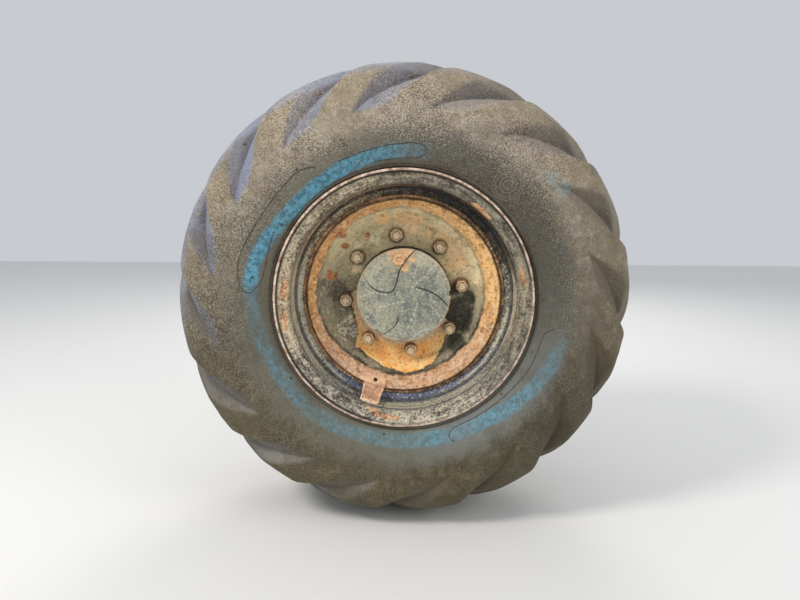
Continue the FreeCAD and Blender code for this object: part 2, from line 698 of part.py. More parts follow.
def make_guard():
    """Bent plate over the valve: a foot on the disc's band, and a shield out to the bead seat."""
    edge = "(sqrt((seat_radius - rim_wall)^2 - (guard_width / 2)^2) - fit_gap)"
    sine = "sin(side_slope * 1 deg)"
    cosine = "cos(side_slope * 1 deg)"
    foot = "(band_inner_radius + guard_inset)"
    bend = "(band_radius - disc_wall * sin(side_slope * 1 deg) - bend_inset)"
    # The foot is flat and the band is a cone, so the foot's edges touch first and hold its middle up.
    rise = f"(sqrt({foot}^2 + (guard_width / 2)^2) - {foot}) * {SLOPE}"
    skin = f"disc_wall / {cosine} + fit_gap / {cosine} + {rise}"
    foot_out = f"({well_side(foot)} + {skin})"
    bend_out = f"({well_side(bend)} + {skin})"
    lift = f"({bend_out} + ({edge} - {bend}) * tan(guard_slope * 1 deg))"
    guard = prism("valve_guard", "YZ_Plane", [
        (f"-{foot_out}", foot),
        (f"-{bend_out}", bend),
        (f"-{lift}", edge),
        (f"-({lift} + guard_wall / cos(guard_slope * 1 deg))", edge),
        (f"-({bend_out} + guard_wall * {cosine})", f"{bend} - guard_wall * {sine}"),
        (f"-({foot_out} + guard_wall * {cosine})", f"{foot} - guard_wall * {sine}"),
    ], "guard_width", symmetric=True)
    holes(guard, "guard_hole", f"({foot} + {bend}) / 2", "guard_hole_radius", "1", "90")
    place(guard, "-wheel_plane", "valve_angle - 90")
    return guard


NODES = [
    make_tyre(),
    make_rim(),
    make_disc(),
    make_hub(),
    make_cover(),
    make_plug(),
    make_nuts(),
    make_studs(),
    make_valve(),
    make_guard(),
    make_arm(),
    make_seal(),
    make_spindle(),
    make_shaft(),
]

doc.recompute()
for thing in doc.Objects:
    if "Invalid" in thing.State or "Error" in thing.State:
        raise RuntimeError(f"{thing.Label} did not recompute: {thing.State}")
for node in NODES:
    if node.Shape.isNull() or not node.Shape.isValid():
        raise RuntimeError(f"{node.Label} is not a valid shape")
for node in NODES:
    node.Shape.exportStep(f"parts/{node.Label}.step")
    box = node.Shape.BoundBox
    print(node.Label, len(node.Shape.Solids), round(node.Shape.Volume), box)
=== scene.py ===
# %% [markdown]
# # The wheel of a site dumper
# One front wheel of a site dumper, on the end of the axle that carries it. The tyre is worn, the rim is
# crusted with mud and rust, and a round cover closes the hub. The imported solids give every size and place.
# This lesson dresses them: worn rubber, rolled steel, a pressed disc, nuts, mud and stones.

# %% Load the solids
import math

import bmesh
import bpy
import numpy as np
from mathutils import Euler, Matrix, Vector
from mathutils.bvhtree import BVHTree


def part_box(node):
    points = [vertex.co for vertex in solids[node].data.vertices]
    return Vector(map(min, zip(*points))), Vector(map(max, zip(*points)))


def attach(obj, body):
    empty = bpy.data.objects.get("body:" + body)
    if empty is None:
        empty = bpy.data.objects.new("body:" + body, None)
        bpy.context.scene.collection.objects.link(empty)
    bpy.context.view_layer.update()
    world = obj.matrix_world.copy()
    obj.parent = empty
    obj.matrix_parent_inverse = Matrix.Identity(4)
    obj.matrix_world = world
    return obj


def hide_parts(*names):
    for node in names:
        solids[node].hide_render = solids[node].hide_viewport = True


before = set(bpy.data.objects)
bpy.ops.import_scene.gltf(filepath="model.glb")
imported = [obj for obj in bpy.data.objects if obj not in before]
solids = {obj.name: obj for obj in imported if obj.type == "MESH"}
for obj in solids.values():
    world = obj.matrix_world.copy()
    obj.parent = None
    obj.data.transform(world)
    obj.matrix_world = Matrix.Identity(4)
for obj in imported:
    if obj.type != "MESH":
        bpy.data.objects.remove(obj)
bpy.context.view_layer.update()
MM = 0.001
WHEEL_PLANE = (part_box("tyre")[0].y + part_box("tyre")[1].y) / 2
print("solids", sorted(solids), "wheel plane", round(WHEEL_PLANE, 4))

# %% [markdown]
# ## Where the viewer stands
# The camera stands about 1.3 m in front of the rim and 0.2 m above the axle, and looks slightly down. A lens of
# 27 mm gives the wide look of a phone. The floor touches the lowest lugs, and a wide pale sky with three large soft
# lamps lights the wheel evenly, a little stronger from above, so that the hollows stay darker than the faces.

# %% Camera, floor and lamps
CAMERA_PLACE = (0.0031, -1.8833, 0.1984)
CAMERA_TILT = 8.69
CAMERA_TURN = 0.48
CAMERA_ROLL = -0.34
LENS = 27.0


def add_camera():
    lens = bpy.data.cameras.new("camera")
    lens.lens = LENS
    lens.clip_start = 0.01
    camera = bpy.data.objects.new("camera", lens)
    camera.location = CAMERA_PLACE
    level = Euler((math.radians(90 - CAMERA_TILT), 0, math.radians(CAMERA_TURN)), "XYZ").to_matrix()
    roll = Matrix.Rotation(math.radians(-CAMERA_ROLL), 3, "Z")
    camera.rotation_euler = (level @ roll).to_euler()
    bpy.context.scene.collection.objects.link(camera)
    bpy.context.scene.camera = camera
    return camera


def add_lamp(name, place, width, watts, tint):
    light = bpy.data.lights.new(name, "AREA")
    light.shape = "DISK"
    light.size = width
    light.energy = watts
    light.color = tint
    lamp = bpy.data.objects.new(name, light)
    lamp.location = place
    aim = Vector((0, WHEEL_PLANE, 0)) - Vector(place)
    lamp.rotation_euler = aim.to_track_quat("-Z", "Y").to_euler()
    bpy.context.scene.collection.objects.link(lamp)
    return lamp


def plain(name, colour, roughness):
    """Material of one colour, for the floor alone."""
    material = bpy.data.materials.new(name)
    material.use_nodes = True
    shader = material.node_tree.nodes["Principled BSDF"]
    shader.inputs["Base Color"].default_value = (*colour, 1)
    shader.inputs["Roughness"].default_value = roughness
    return material


def add_floor(height):
    corners = [(-6, -6, height), (6, -6, height), (6, 6, height), (-6, 6, height)]
    mesh = bpy.data.meshes.new("floor")
    mesh.from_pydata(corners, [], [(0, 1, 2, 3)])
    mesh.materials.append(plain("floor_paint", (0.78, 0.77, 0.75), 0.9))
    floor = bpy.data.objects.new("floor", mesh)
    bpy.context.scene.collection.objects.link(floor)
    return floor


scene = bpy.context.scene
scene.view_settings.view_transform = "Standard"
world = bpy.data.worlds.new("sky")
world.use_nodes = True
world.node_tree.nodes["Background"].inputs["Color"].default_value = (0.90, 0.94, 1.0, 1)
world.node_tree.nodes["Background"].inputs["Strength"].default_value = 0.64
scene.world = world
add_camera()
add_lamp("lamp_left", (-2.4, -2.2, 2.6), 1.0, 92, (1.0, 0.97, 0.93))
add_lamp("lamp_right", (2.6, -2.2, 1.4), 1.8, 26, (1.0, 0.98, 0.96))
add_lamp("lamp_back", (0.6, 2.8, 2.2), 1.8, 45, (1.0, 0.98, 0.95))
add_floor(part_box("tyre")[0].z - 0.0005)
print("camera", CAMERA_PLACE, "lens", LENS)

# %% [markdown]
# ## Finishes from layers
# Dirt and wear lie in layers, so every finish here is built the same way: a base colour, then tints let in by
# noise, height or place; some of these tints are painted light and shade. A short class keeps the node calls
# readable. Patterns read Object coordinates, so they stay on the piece when it turns. Around the axle the useful
# measures are the distance from it and the angle about it, and the class gives both.

# %% A small kit for finishes


def paint(red, green, blue):
    """Colour written as on a screen, from 0 to 255, turned into light."""
    return tuple(((c / 255 + 0.055) / 1.055) ** 2.4 if c > 10 else c / 255 / 12.92 for c in (red, green, blue))


class Finish:
    """A material being made, with a short call for each kind of node."""

    def __init__(self, name, roughness=0.85, metallic=0.0):
        self.material = bpy.data.materials.new(name)
        self.material.use_nodes = True
        self.tree = self.material.node_tree
        self.shader = self.tree.nodes["Principled BSDF"]
        self.shader.inputs["Roughness"].default_value = roughness
        self.shader.inputs["Metallic"].default_value = metallic
        self.place = self.node("ShaderNodeTexCoord").outputs["Object"]
        self.parts = None
        self.normal = None
        self.measures = {}

    def node(self, kind, **settings):
        made = self.tree.nodes.new(kind)
        for name, value in settings.items():
            setattr(made, name, value)
        return made

    def feed(self, socket, value):
        if isinstance(value, bpy.types.NodeSocket):
            self.tree.links.new(value, socket)
        elif isinstance(value, tuple) and len(value) == 3 and socket.type == "RGBA":
            socket.default_value = (*value, 1)
        else:
            socket.default_value = value

    def math(self, operation, *values):
        made = self.node("ShaderNodeMath", operation=operation)
        for socket, value in zip(made.inputs, values):
            self.feed(socket, value)
        return made.outputs[0]

    def noise(self, scale, detail=5.0, rough=0.6, stretch=None, offset=(0, 0, 0)):
        made = self.node("ShaderNodeTexNoise")
        place = self.place
        if stretch or offset != (0, 0, 0):
            mapping = self.node("ShaderNodeMapping")
            mapping.inputs["Location"].default_value = offset
            mapping.inputs["Scale"].default_value = stretch or (1, 1, 1)
            self.feed(mapping.inputs["Vector"], self.place)
            place = mapping.outputs[0]
        self.feed(made.inputs["Vector"], place)
        made.inputs["Scale"].default_value = scale
        made.inputs["Detail"].default_value = detail
        made.inputs["Roughness"].default_value = rough
        return made.outputs["Fac"]

    def band(self, value, low, high, to_low=0.0, to_high=1.0):
        """Smooth step from to_low to to_high as value goes from low to high."""
        made = self.node("ShaderNodeMapRange", interpolation_type="SMOOTHSTEP")
        for name, number in (("From Min", low), ("From Max", high), ("To Min", to_low), ("To Max", to_high)):
            self.feed(made.inputs[name], number)
        self.feed(made.inputs["Value"], value)
        return made.outputs[0]

    def tint(self, amount, under, over):
        made = self.node("ShaderNodeMix", data_type="RGBA")
        self.feed(made.inputs[0], amount)
        self.feed(made.inputs[6], under)
        self.feed(made.inputs[7], over)
        return made.outputs[2]

    def axis(self, letter):
        if self.parts is None:
            self.parts = self.node("ShaderNodeSeparateXYZ")
            self.feed(self.parts.inputs[0], self.place)
        return self.parts.outputs[letter]

    def reach(self):
        """Distance from the axle."""
        if "reach" not in self.measures:
            across = self.math("MULTIPLY", self.axis("X"), self.axis("X"))
            up = self.math("MULTIPLY", self.axis("Z"), self.axis("Z"))
            self.measures["reach"] = self.math("SQRT", self.math("ADD", across, up))
        return self.measures["reach"]

    def angle(self):
        """Angle about the axle in degrees, anticlockwise from the right, from -180 to 180."""
        if "angle" not in self.measures:
            turn = self.math("ARCTAN2", self.axis("Z"), self.axis("X"))
            self.measures["angle"] = self.math("MULTIPLY", turn, 180 / math.pi)
        return self.measures["angle"]

    def out(self):
        """Distance out from the wheel's centre plane."""
        return self.math("SUBTRACT", WHEEL_PLANE, self.axis("Y"))

    def follow(self, value, low, high, points):
        """Height of a line through points (place, height), read at value between low and high."""
        bottom = min(height for _, height in points)
        spread = max(height for _, height in points) - bottom
        made = self.node("ShaderNodeFloatCurve")
        track = made.mapping.curves[0].points
        for i, (place, height) in enumerate(points):
            spot = ((place - low) / (high - low), (height - bottom) / spread)
            point = track[i] if i < 2 else track.new(*spot)
            point.location = spot
            point.handle_type = "VECTOR"
        made.mapping.update()
        share = self.node("ShaderNodeMapRange")
        self.feed(share.inputs["From Min"], low)
        self.feed(share.inputs["From Max"], high)
        self.feed(share.inputs["Value"], value)
        self.feed(made.inputs["Value"], share.outputs[0])
        return self.math("MULTIPLY_ADD", made.outputs[0], spread, bottom)

    def ringed(self, scale, detail=5.0, rough=0.65, along=1.0, offset=0.0):
        """Noise drawn out along circles about the axle, less so as along grows."""
        turn = self.math("MULTIPLY", self.angle(), 0.0044 * along)
        spot = self.node("ShaderNodeCombineXYZ")
        self.feed(spot.inputs[0], self.math("ADD", turn, offset))
        self.feed(spot.inputs[1], self.axis("Y"))
        self.feed(spot.inputs[2], self.reach())
        made = self.node("ShaderNodeTexNoise")
        self.feed(made.inputs["Vector"], spot.outputs[0])
        made.inputs["Scale"].default_value = scale
        made.inputs["Detail"].default_value = detail
        made.inputs["Roughness"].default_value = rough
        return made.outputs["Fac"]

    def near(self, x, z, inner, outer):
        """1 within inner of a place on the wheel's face, falling to 0 at outer."""
        across = self.math("SUBTRACT", self.axis("X"), x)
        up = self.math("SUBTRACT", self.axis("Z"), z)
        far = self.math("SQRT", self.math("ADD", self.math("POWER", across, 2.0), self.math("POWER", up, 2.0)))
        return self.band(far, inner, outer, 1.0, 0.0)

    def spots(self, colour, noise, low, high, amount, over):
        """The colour with another let in where a noise runs from low to high."""
        return self.tint(self.band(noise, low, high, 0.0, amount), colour, over)

    def patches(self, places, noise, ragged=1.2):
        """1 inside ragged patches at places (degrees, radius, size) on the wheel's face."""
        total = 0.0
        for degrees, radius, size in places:
            turn = math.radians(degrees)
            across = self.math("SUBTRACT", self.axis("X"), radius * math.cos(turn))
            up = self.math("SUBTRACT", self.axis("Z"), radius * math.sin(turn))
            far = self.math("ADD", self.math("MULTIPLY", across, across), self.math("MULTIPLY", up, up))
            share = self.math("DIVIDE", self.math("SQRT", far), size)
            share = self.math("MULTIPLY_ADD", self.math("SUBTRACT", noise, 0.5), ragged * 3, share)
            total = self.math("MAXIMUM", total, self.band(share, 0.65, 1.1, 1.0, 0.0))
        return total

    def arcs(self, places, walk, noise, ragged=4.0):
        """1 inside ragged patches drawn out round the axle: (degrees, place on the walk, half turn, half width)."""
        total = 0.0
        for degrees, middle, half_turn, half_width in places:
            along = self.math("DIVIDE", self.math("SUBTRACT", self.angle(), degrees), half_turn)
            across = self.math("DIVIDE", self.math("SUBTRACT", walk, middle), half_width)
            far = self.math("ADD", self.math("MULTIPLY", along, along), self.math("MULTIPLY", across, across))
            far = self.math("MULTIPLY_ADD", self.math("SUBTRACT", noise, 0.5), ragged, far)
            total = self.math("MAXIMUM", total, self.band(far, 0.7, 1.3, 1.0, 0.0))
        return total

    def bump(self, height, depth, strength=1.0):
        made = self.node("ShaderNodeBump")
        made.inputs["Strength"].default_value = strength
        made.inputs["Distance"].default_value = depth
        self.feed(made.inputs["Height"], height)
        if self.normal is not None:
            self.feed(made.inputs["Normal"], self.normal)
        self.normal = made.outputs[0]
        return self

    def done(self, colour, roughness=None, metallic=None):
        self.feed(self.shader.inputs["Base Color"], colour)
        if roughness is not None:
            self.feed(self.shader.inputs["Roughness"], roughness)
        if metallic is not None:
            self.feed(self.shader.inputs["Metallic"], metallic)
        if self.normal is not None:
            self.feed(self.shader.inputs["Normal"], self.normal)
        return self.material


# %% [markdown]
# ## Meshes that turn about the axle
# Most pieces of a wheel are turned, so one helper makes them: it takes the outline of a section, as distances out
# from the wheel's centre plane and radii, and sweeps it round the axle. Corners of a real pressing are rounded, so
# another helper replaces each corner of the outline by a short arc. A change, given as a function of place and
# angle, pushes the skin in and out for mud, dents and wear before the mesh is made.

# %% Sections and shells


def rounded(corners, steps=4):
    """Closed outline in which each corner (out, radius, bend) becomes an arc of that bend."""
    points = []
    total = len(corners)
    for i, (out, radius, bend) in enumerate(corners):
        here = np.array([out, radius], float)
        if bend <= 0:
            points.append(here)
            continue
        before = np.array(corners[i - 1][:2], float) - here
        after = np.array(corners[(i + 1) % total][:2], float) - here
        reach = min(np.linalg.norm(before), np.linalg.norm(after)) * 0.45
        before = before / np.linalg.norm(before)
        after = after / np.linalg.norm(after)
        half = math.acos(max(-1, min(1, float(before @ after)))) / 2
        cut = min(bend / max(math.tan(half), 1e-3), reach)
        start = here + before * cut
        end = here + after * cut
        for t in np.linspace(0, 1, steps + 1):
            points.append((1 - t) ** 2 * start + 2 * t * (1 - t) * here + t ** 2 * end)
    return np.array(points)


def spaced(points, step, closed=True):
    """The outline again, with no two neighbours further apart than step."""
    result = []
    total = len(points)
    for i in range(total if closed else total - 1):
        here = points[i]
        there = points[(i + 1) % total]
        count = max(1, int(math.ceil(np.linalg.norm(there - here) / step)))
        for k in range(count):
            result.append(here + (there - here) * k / count)
    if not closed:
        result.append(points[-1])
    return np.array(result)


def outward(section):
    """Unit normals of a closed outline, to the right of its direction."""
    along = np.roll(section, -1, axis=0) - np.roll(section, 1, axis=0)
    along = along / np.maximum(np.linalg.norm(along, axis=1), 1e-9)[:, None]
    return np.stack([along[:, 1], -along[:, 0]], axis=1)


def make_object(name, points, faces):
    mesh = bpy.data.meshes.new(name)
    mesh.from_pydata([tuple(p) for p in points], [], [tuple(f) for f in faces])
    mesh.validate()
    thing = bpy.data.objects.new(name, mesh)
    bpy.context.scene.collection.objects.link(thing)
    return thing


def face_out(thing, merge=0.0):
    """Merge doubled points and turn every face outwards."""
    work = bmesh.new()
    work.from_mesh(thing.data)
    if merge > 0:
        bmesh.ops.remove_doubles(work, verts=work.verts, dist=merge)
    bmesh.ops.recalc_face_normals(work, faces=work.faces)
    work.to_mesh(thing.data)
    work.free()
    thing.data.update()
    return thing


def shade(thing, angle=40):
    """Smooth shading, with edges sharper than an angle left crisp."""
    thing.data.polygons.foreach_set("use_smooth", [True] * len(thing.data.polygons))
    thing.data.set_sharp_from_angle(angle=math.radians(angle))
    return thing


def net(rows, columns, wrap_rows, wrap_columns):
    """Faces of a net of rows times columns points."""
    faces = []
    for i in range(rows if wrap_rows else rows - 1):
        for j in range(columns if wrap_columns else columns - 1):
            a = i * columns + j
            b = i * columns + (j + 1) % columns
            c = ((i + 1) % rows) * columns + (j + 1) % columns
            d = ((i + 1) % rows) * columns + j
            faces.append((a, b, c, d))
    return faces


def placed(out, radius, angle):
    """Points in space from millimetres out from the wheel's plane, radius and angle about the axle."""
    return np.stack([radius * np.cos(angle) * MM, WHEEL_PLANE - out * MM, radius * np.sin(angle) * MM], axis=-1)


def turned(name, corners, around=240, step=8.0, change=None, steps=4):
    """Shell of revolution from a closed section, whose skin may be pushed by change(out, radius, angle)."""
    section = spaced(rounded(corners, steps), step)
    normal = outward(section)
    angle = np.linspace(0, 2 * np.pi, around, endpoint=False)
    out = np.repeat(section[:, :1], around, axis=1)
    radius = np.repeat(section[:, 1:], around, axis=1)
    turn = np.repeat(angle[None, :], len(section), axis=0)
    if change is not None:
        push = change(out, radius, turn)
        out = out + normal[:, :1] * push
        radius = radius + normal[:, 1:] * push
    points = placed(out, radius, turn).reshape(-1, 3)
    thing = make_object(name, points, net(len(section), around, True, True))
    shade(face_out(thing))
    print(name, "faces", len(thing.data.polygons))
    return thing


def finish_piece(thing, body, slot_name, material, *replaced):
    """Give a piece its finish, its body and the solids that it stands for."""
    thing.data.materials.clear()
    thing.data.materials.append(material)
    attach(thing, body)
    if replaced:
        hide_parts(*replaced)
    return thing


def step_up(value, low, high):
    """Smooth step from 0 at low to 1 at high."""
    t = np.clip((value - low) / (high - low), 0, 1)
    return t * t * (3 - 2 * t)


def waves(points, scale, seed, layers=4):
    """Rough noise made of waves in fixed random directions, from about -1 to 1."""
    chance = np.random.default_rng(seed)
    total = np.zeros(points.shape[:-1])
    size = 1.0
    for layer in range(layers):
        for _ in range(5):
            way = chance.normal(size=3)
            way = way / np.linalg.norm(way) * (2 ** layer) / scale * chance.uniform(0.7, 1.3)
            total += size * np.sin(points @ way * 2 * np.pi + chance.uniform(0, 2 * np.pi))
        size *= 0.55
    return total / 5


# %% [markdown]
# ## The tyre
# The tyre has sixteen lugs on each side that sweep back from the sidewall to the tread. Between them lie grooves
# with one crisp wall and one that fades into the next lug, because the rubber is worn. One pitch of the pattern
# repeats sixteen times, so a single slice is meshed and Geometry Nodes set it round the axle, join the slices and
# push the joined skin in and out with noise, which makes every lug wear in its own way. The slice is sheared to
# follow the crisp walls, so that they run along rows of the mesh. Each point keeps how deep it lies in a groove, and
# the finish reads it.

# %% Section of the tyre and its grooves
LUGS = 16
PITCH = 2 * math.pi / LUGS
TYRE_SIDE = [
    (139, 257.8), (164.6, 257.8), (164.6, 284.2), (169, 290), (178, 300), (188, 315), (195.5, 333), (200.5, 352),
    (203, 372), (203.7, 392), (203.2, 412), (201, 430), (196.5, 446), (189, 460), (179, 473.5), (167, 485),
    (150, 494), (125, 503), (98, 511), (70, 516.5), (40, 520), (14, 521.3), (0, 521.6),
]
GROOVE_TIP = 396.0
SHOULDER = 486.0
TIP_ANGLE = math.radians(6.0)
SIDE_TRAIL = math.radians(13.4)
TREAD_TRAIL = math.radians(14.0)
CENTRE_RIB = 14.0


def thinned(curve, close, wide):
    """Fewer points of a curve: close together where the grooves begin, and wide apart elsewhere."""
    kept = [curve[0]]
    for point in curve[1:-1]:
        step = close if 388 < point[1] < 450 else wide
        if np.linalg.norm(point - kept[-1]) >= step:
            kept.append(point)
    kept.append(curve[-1])
    return np.array(kept)


def tyre_section():
    """Whole closed section: one side, its mirror image, and the inside of the casing."""
    side = np.array(TYRE_SIDE, float)
    half = np.concatenate([side[:2], thinned(catmull(side[2:], 12), 4.4, 8.0)])
    other = half[::-1].copy()
    other[:, 0] *= -1
    inside = np.array([(139, 300), (139, 400), (125, 438), (60, 446)], float)
    opposite = inside * (-1, 1)
    return np.concatenate([half, other[1:], opposite, inside[::-1]])


def catmull(points, steps):
    """Smooth curve through points."""
    padded = np.concatenate([[2 * points[0] - points[1]], points, [2 * points[-1] - points[-2]]])
    result = []
    for i in range(1, len(padded) - 2):
        p0, p1, p2, p3 = padded[i - 1:i + 3]
        for t in np.arange(steps) / steps:
            result.append(0.5 * (2 * p1 + (p2 - p0) * t + (2 * p0 - 5 * p1 + 4 * p2 - p3) * t ** 2
                                 + (3 * p1 - p0 - 3 * p2 + p3) * t ** 3))
    result.append(points[-1])
    return np.array(result)


def across_tread(section):
    """0 on the sidewall below the grooves, 1 at the shoulder and 2 at the middle of the tread."""
    radius = section[:, 1]
    out = np.abs(section[:, 0])
    side = np.clip((radius - GROOVE_TIP) / (SHOULDER - GROOVE_TIP), 0, 1)
    tread = np.clip((167 - out) / 167, 0, 1)
    inner = (radius < 450) & (out < 150)
    value = np.where(radius < SHOULDER - 0.5, side, 1 + tread)
    return np.where(inner, 0, value)


def groove_depth(place, out, share):
    """Depth of the groove in millimetres, at a place across the tread and a share of the pitch past its wall."""
    ridge_at = np.interp(place, [0, 0.12, 0.25], [0.30, 0.08, 0.0])
    valley_at = np.interp(place, [0, 0.2, 0.4, 0.6, 0.75, 1, 1.13, 1.4, 2], [0.46, 0.38, 0.31, 0.24, 0.20, 0.14, 0.11, 0.09, 0.07])
    ramp_end = np.interp(place, [0, 0.2, 0.4, 0.6, 0.75, 1, 1.5, 2], [0.48, 0.50, 0.53, 0.57, 0.60, 0.59, 0.46, 0.34])
    soft = np.interp(place, [0, 1, 1.4, 2], [0.05, 0.14, 0.40, 0.55])
    deep = np.interp(place, [0, 0.1, 0.3, 0.6, 1, 1.5, 2], [0, 5, 10, 15, 20.5, 25, 23])
    wall = np.clip((share - ridge_at) / (valley_at - ridge_at), 0, 1) ** 0.85
    floor_end = valley_at + (ramp_end - valley_at) * soft
    ramp = np.clip((ramp_end - share) / np.maximum(ramp_end - floor_end, 0.01), 0, 1)
    ends = step_up(np.abs(out), CENTRE_RIB, CENTRE_RIB + 12)
    steep = np.where((share > ridge_at) & (share < valley_at * 1.03), 1.0, 0.0) * step_up(deep, 1.5, 7) * ends
    return deep * wall * ramp * ends, steep


def tyre_slice():
    """One pitch of the tyre, sheared to follow the walls of its grooves."""
    section = tyre_section()
    normal = outward(section)
    place = across_tread(section)
    sweep = -np.interp(place, [0, 1, 2], [0, SIDE_TRAIL, SIDE_TRAIL + TREAD_TRAIL])
    close = np.array([-0.02, -0.006, 0.004, 0.022, 0.044, 0.066, 0.088, 0.11, 0.13])
    shares = np.concatenate([close, 0.5 + close, np.linspace(0.155, 0.455, 14), np.linspace(0.655, 0.955, 14)])
    shares = np.sort(np.mod(shares, 1.0))
    shares = np.concatenate([shares, [shares[0] + 1]])
    rows = len(section)
    columns = len(shares)
    share = np.repeat(shares[None, :], rows, axis=0)
    out = np.repeat(section[:, :1], columns, axis=1)
    radius = np.repeat(section[:, 1:], columns, axis=1)
    here = np.repeat(place[:, None], columns, axis=1)
    own = np.mod(np.where(out >= 0, share, share - 0.5), 1.0)
    depth, steep = groove_depth(here, out, own)
    depth = np.where(here > 0, depth, 0)
    turn = TIP_ANGLE + np.repeat(sweep[:, None], columns, axis=1) + share * PITCH
    points = placed(out - normal[:, :1] * depth, radius - normal[:, 1:] * depth, turn)
    faces = [face[::-1] for face in net(rows, columns, True, False)]
    thing = make_object("tyre_slice", points.reshape(-1, 3), faces)
    kept = thing.data.attributes.new("groove", "FLOAT", "POINT")
    kept.data.foreach_set("value", (depth / 20).reshape(-1))
    wall = thing.data.attributes.new("wall", "FLOAT", "POINT")
    wall.data.foreach_set("value", np.where(here > 0, steep, 0).reshape(-1))
    return thing


# %% [markdown]
# ## Setting the slices round the axle
# The tree takes the slice as its geometry, puts it on sixteen points at the axle, each turned by one pitch more, and
# makes the copies real. Points that meet are merged. A slow noise then lowers the lugs unevenly and a quicker one
# roughens them. The result is turned into a plain mesh, so nothing live is left on the piece.

# %% Trees for what repeats


class Tree:
    """A Geometry Nodes tree being made, with a socket for each of its sizes."""

    def __init__(self, name, sizes):
        self.group = bpy.data.node_groups.new(name, "GeometryNodeTree")
        face = self.group.interface
        face.new_socket("Geometry", in_out="INPUT", socket_type="NodeSocketGeometry")
        for label, kind, value in sizes:
            made = face.new_socket(label, in_out="INPUT", socket_type=kind)
            if value is not None:
                made.default_value = value
        face.new_socket("Geometry", in_out="OUTPUT", socket_type="NodeSocketGeometry")
        self.start = self.group.nodes.new("NodeGroupInput")
        self.end = self.group.nodes.new("NodeGroupOutput")

    def node(self, kind, settings=None, **inputs):
        made = self.group.nodes.new(kind)
        for name, value in (settings or {}).items():
            setattr(made, name, value)
        for name, value in inputs.items():
            self.feed(made.inputs[name.replace("_", " ")], value)
        return made

    def feed(self, socket, value):
        if isinstance(value, bpy.types.NodeSocket):
            self.group.links.new(value, socket)
        else:
            socket.default_value = value

    def math(self, operation, first, second):
        made = self.group.nodes.new("ShaderNodeMath")
        made.operation = operation
        self.feed(made.inputs[0], first)
        self.feed(made.inputs[1], second)
        return made.outputs[0]

    def finish(self, geometry, material):
        """Close the tree: real copies in the given material."""
        real = self.node("GeometryNodeRealizeInstances", Geometry=geometry)
        coated = self.node("GeometryNodeSetMaterial", Geometry=real.outputs[0], Material=material)
        self.feed(self.end.inputs[0], coated.outputs[0])
        return self.group


def ring_tree(material, turned_copies):
    """Copies of the geometry set round the axle, merged and roughened."""
    tree = Tree("set_round_axle", [
        ("Copies", "NodeSocketInt", turned_copies),
        ("Radius", "NodeSocketFloat", 0.0),
        ("First angle", "NodeSocketFloat", 0.0),
        ("Merge distance", "NodeSocketFloat", 0.0),
        ("Slow wear", "NodeSocketFloat", 0.0),
        ("Quick wear", "NodeSocketFloat", 0.0),
        ("Seed", "NodeSocketFloat", 3.0),
    ])
    start = tree.start.outputs
    line = tree.node("GeometryNodeMeshLine", Count=start["Copies"])
    line.inputs["Offset"].default_value = (0, 0, 0)
    number = tree.node("GeometryNodeInputIndex").outputs[0]
    pitch = tree.math("DIVIDE", 2 * math.pi, start["Copies"])
    turn = tree.math("ADD", tree.math("MULTIPLY", number, pitch), start["First angle"])
    across = tree.math("MULTIPLY", tree.math("COSINE", turn, 0.0), start["Radius"])
    up = tree.math("MULTIPLY", tree.math("SINE", turn, 0.0), start["Radius"])
    spot = tree.node("ShaderNodeCombineXYZ", X=across, Z=up)
    moved = tree.node("GeometryNodeSetPosition", Geometry=line.outputs[0], Position=spot.outputs[0])
    spin = tree.node("ShaderNodeCombineXYZ", Y=tree.math("MULTIPLY", turn, -1.0))
    turned_by = tree.node("FunctionNodeEulerToRotation", Euler=spin.outputs[0])
    copies = tree.node("GeometryNodeInstanceOnPoints", Points=moved.outputs[0], Instance=start["Geometry"],
                       Rotation=turned_by.outputs[0])
    real = tree.node("GeometryNodeRealizeInstances", Geometry=copies.outputs[0])
    merged = tree.node("GeometryNodeMergeByDistance", Geometry=real.outputs[0], Distance=start["Merge distance"])
    place = tree.node("GeometryNodeInputPosition").outputs[0]
    normal = tree.node("GeometryNodeInputNormal").outputs[0]
    push = None
    for size, amount in ((11.0, "Slow wear"), (60.0, "Quick wear")):
        noise = tree.node("ShaderNodeTexNoise", {"noise_dimensions": "4D"}, Vector=place, W=start["Seed"], Scale=size)
        centred = tree.math("SUBTRACT", noise.outputs["Fac"], 0.62)
        part = tree.math("MULTIPLY", centred, start[amount])
        push = part if push is None else tree.math("ADD", push, part)
    push = tree.math("MINIMUM", push, 0.0002)
    shift = tree.node("ShaderNodeVectorMath", {"operation": "SCALE"}, Scale=push)
    tree.feed(shift.inputs[0], normal)
    worn = tree.node("GeometryNodeSetPosition", Geometry=merged.outputs[0], Offset=shift.outputs[0])
    return tree.finish(worn.outputs[0], material)


def apply_tree(thing, group, name, **values):
    """Run a tree on an object and return its result as a plain mesh object."""
    modifier = thing.modifiers.new("tree", "NODES")
    modifier.node_group = group
    for item in group.interface.items_tree:
        if item.in_out == "INPUT" and item.name in values:
            modifier[item.identifier] = values[item.name]
    bpy.context.view_layer.update()
    settled = thing.evaluated_get(bpy.context.evaluated_depsgraph_get())
    mesh = bpy.data.meshes.new_from_object(settled)
    thing.modifiers.remove(modifier)
    bpy.data.objects.remove(thing)
    mesh.name = name
    result = bpy.data.objects.new(name, mesh)
    bpy.context.scene.collection.objects.link(result)
    return result


def place_copies(thing, name, material, count, radius, first, seed=0.0, slow=0.0, quick=0.0, merge=0.0):
    group = ring_tree(material, count)
    values = {"Copies": count, "Radius": radius, "First angle": first, "Merge distance": merge,
              "Slow wear": slow, "Quick wear": quick, "Seed": seed}
    result = apply_tree(thing, group, name, **values)
    shade(face_out(result))
    print(name, "faces", len(result.data.polygons))
    return result
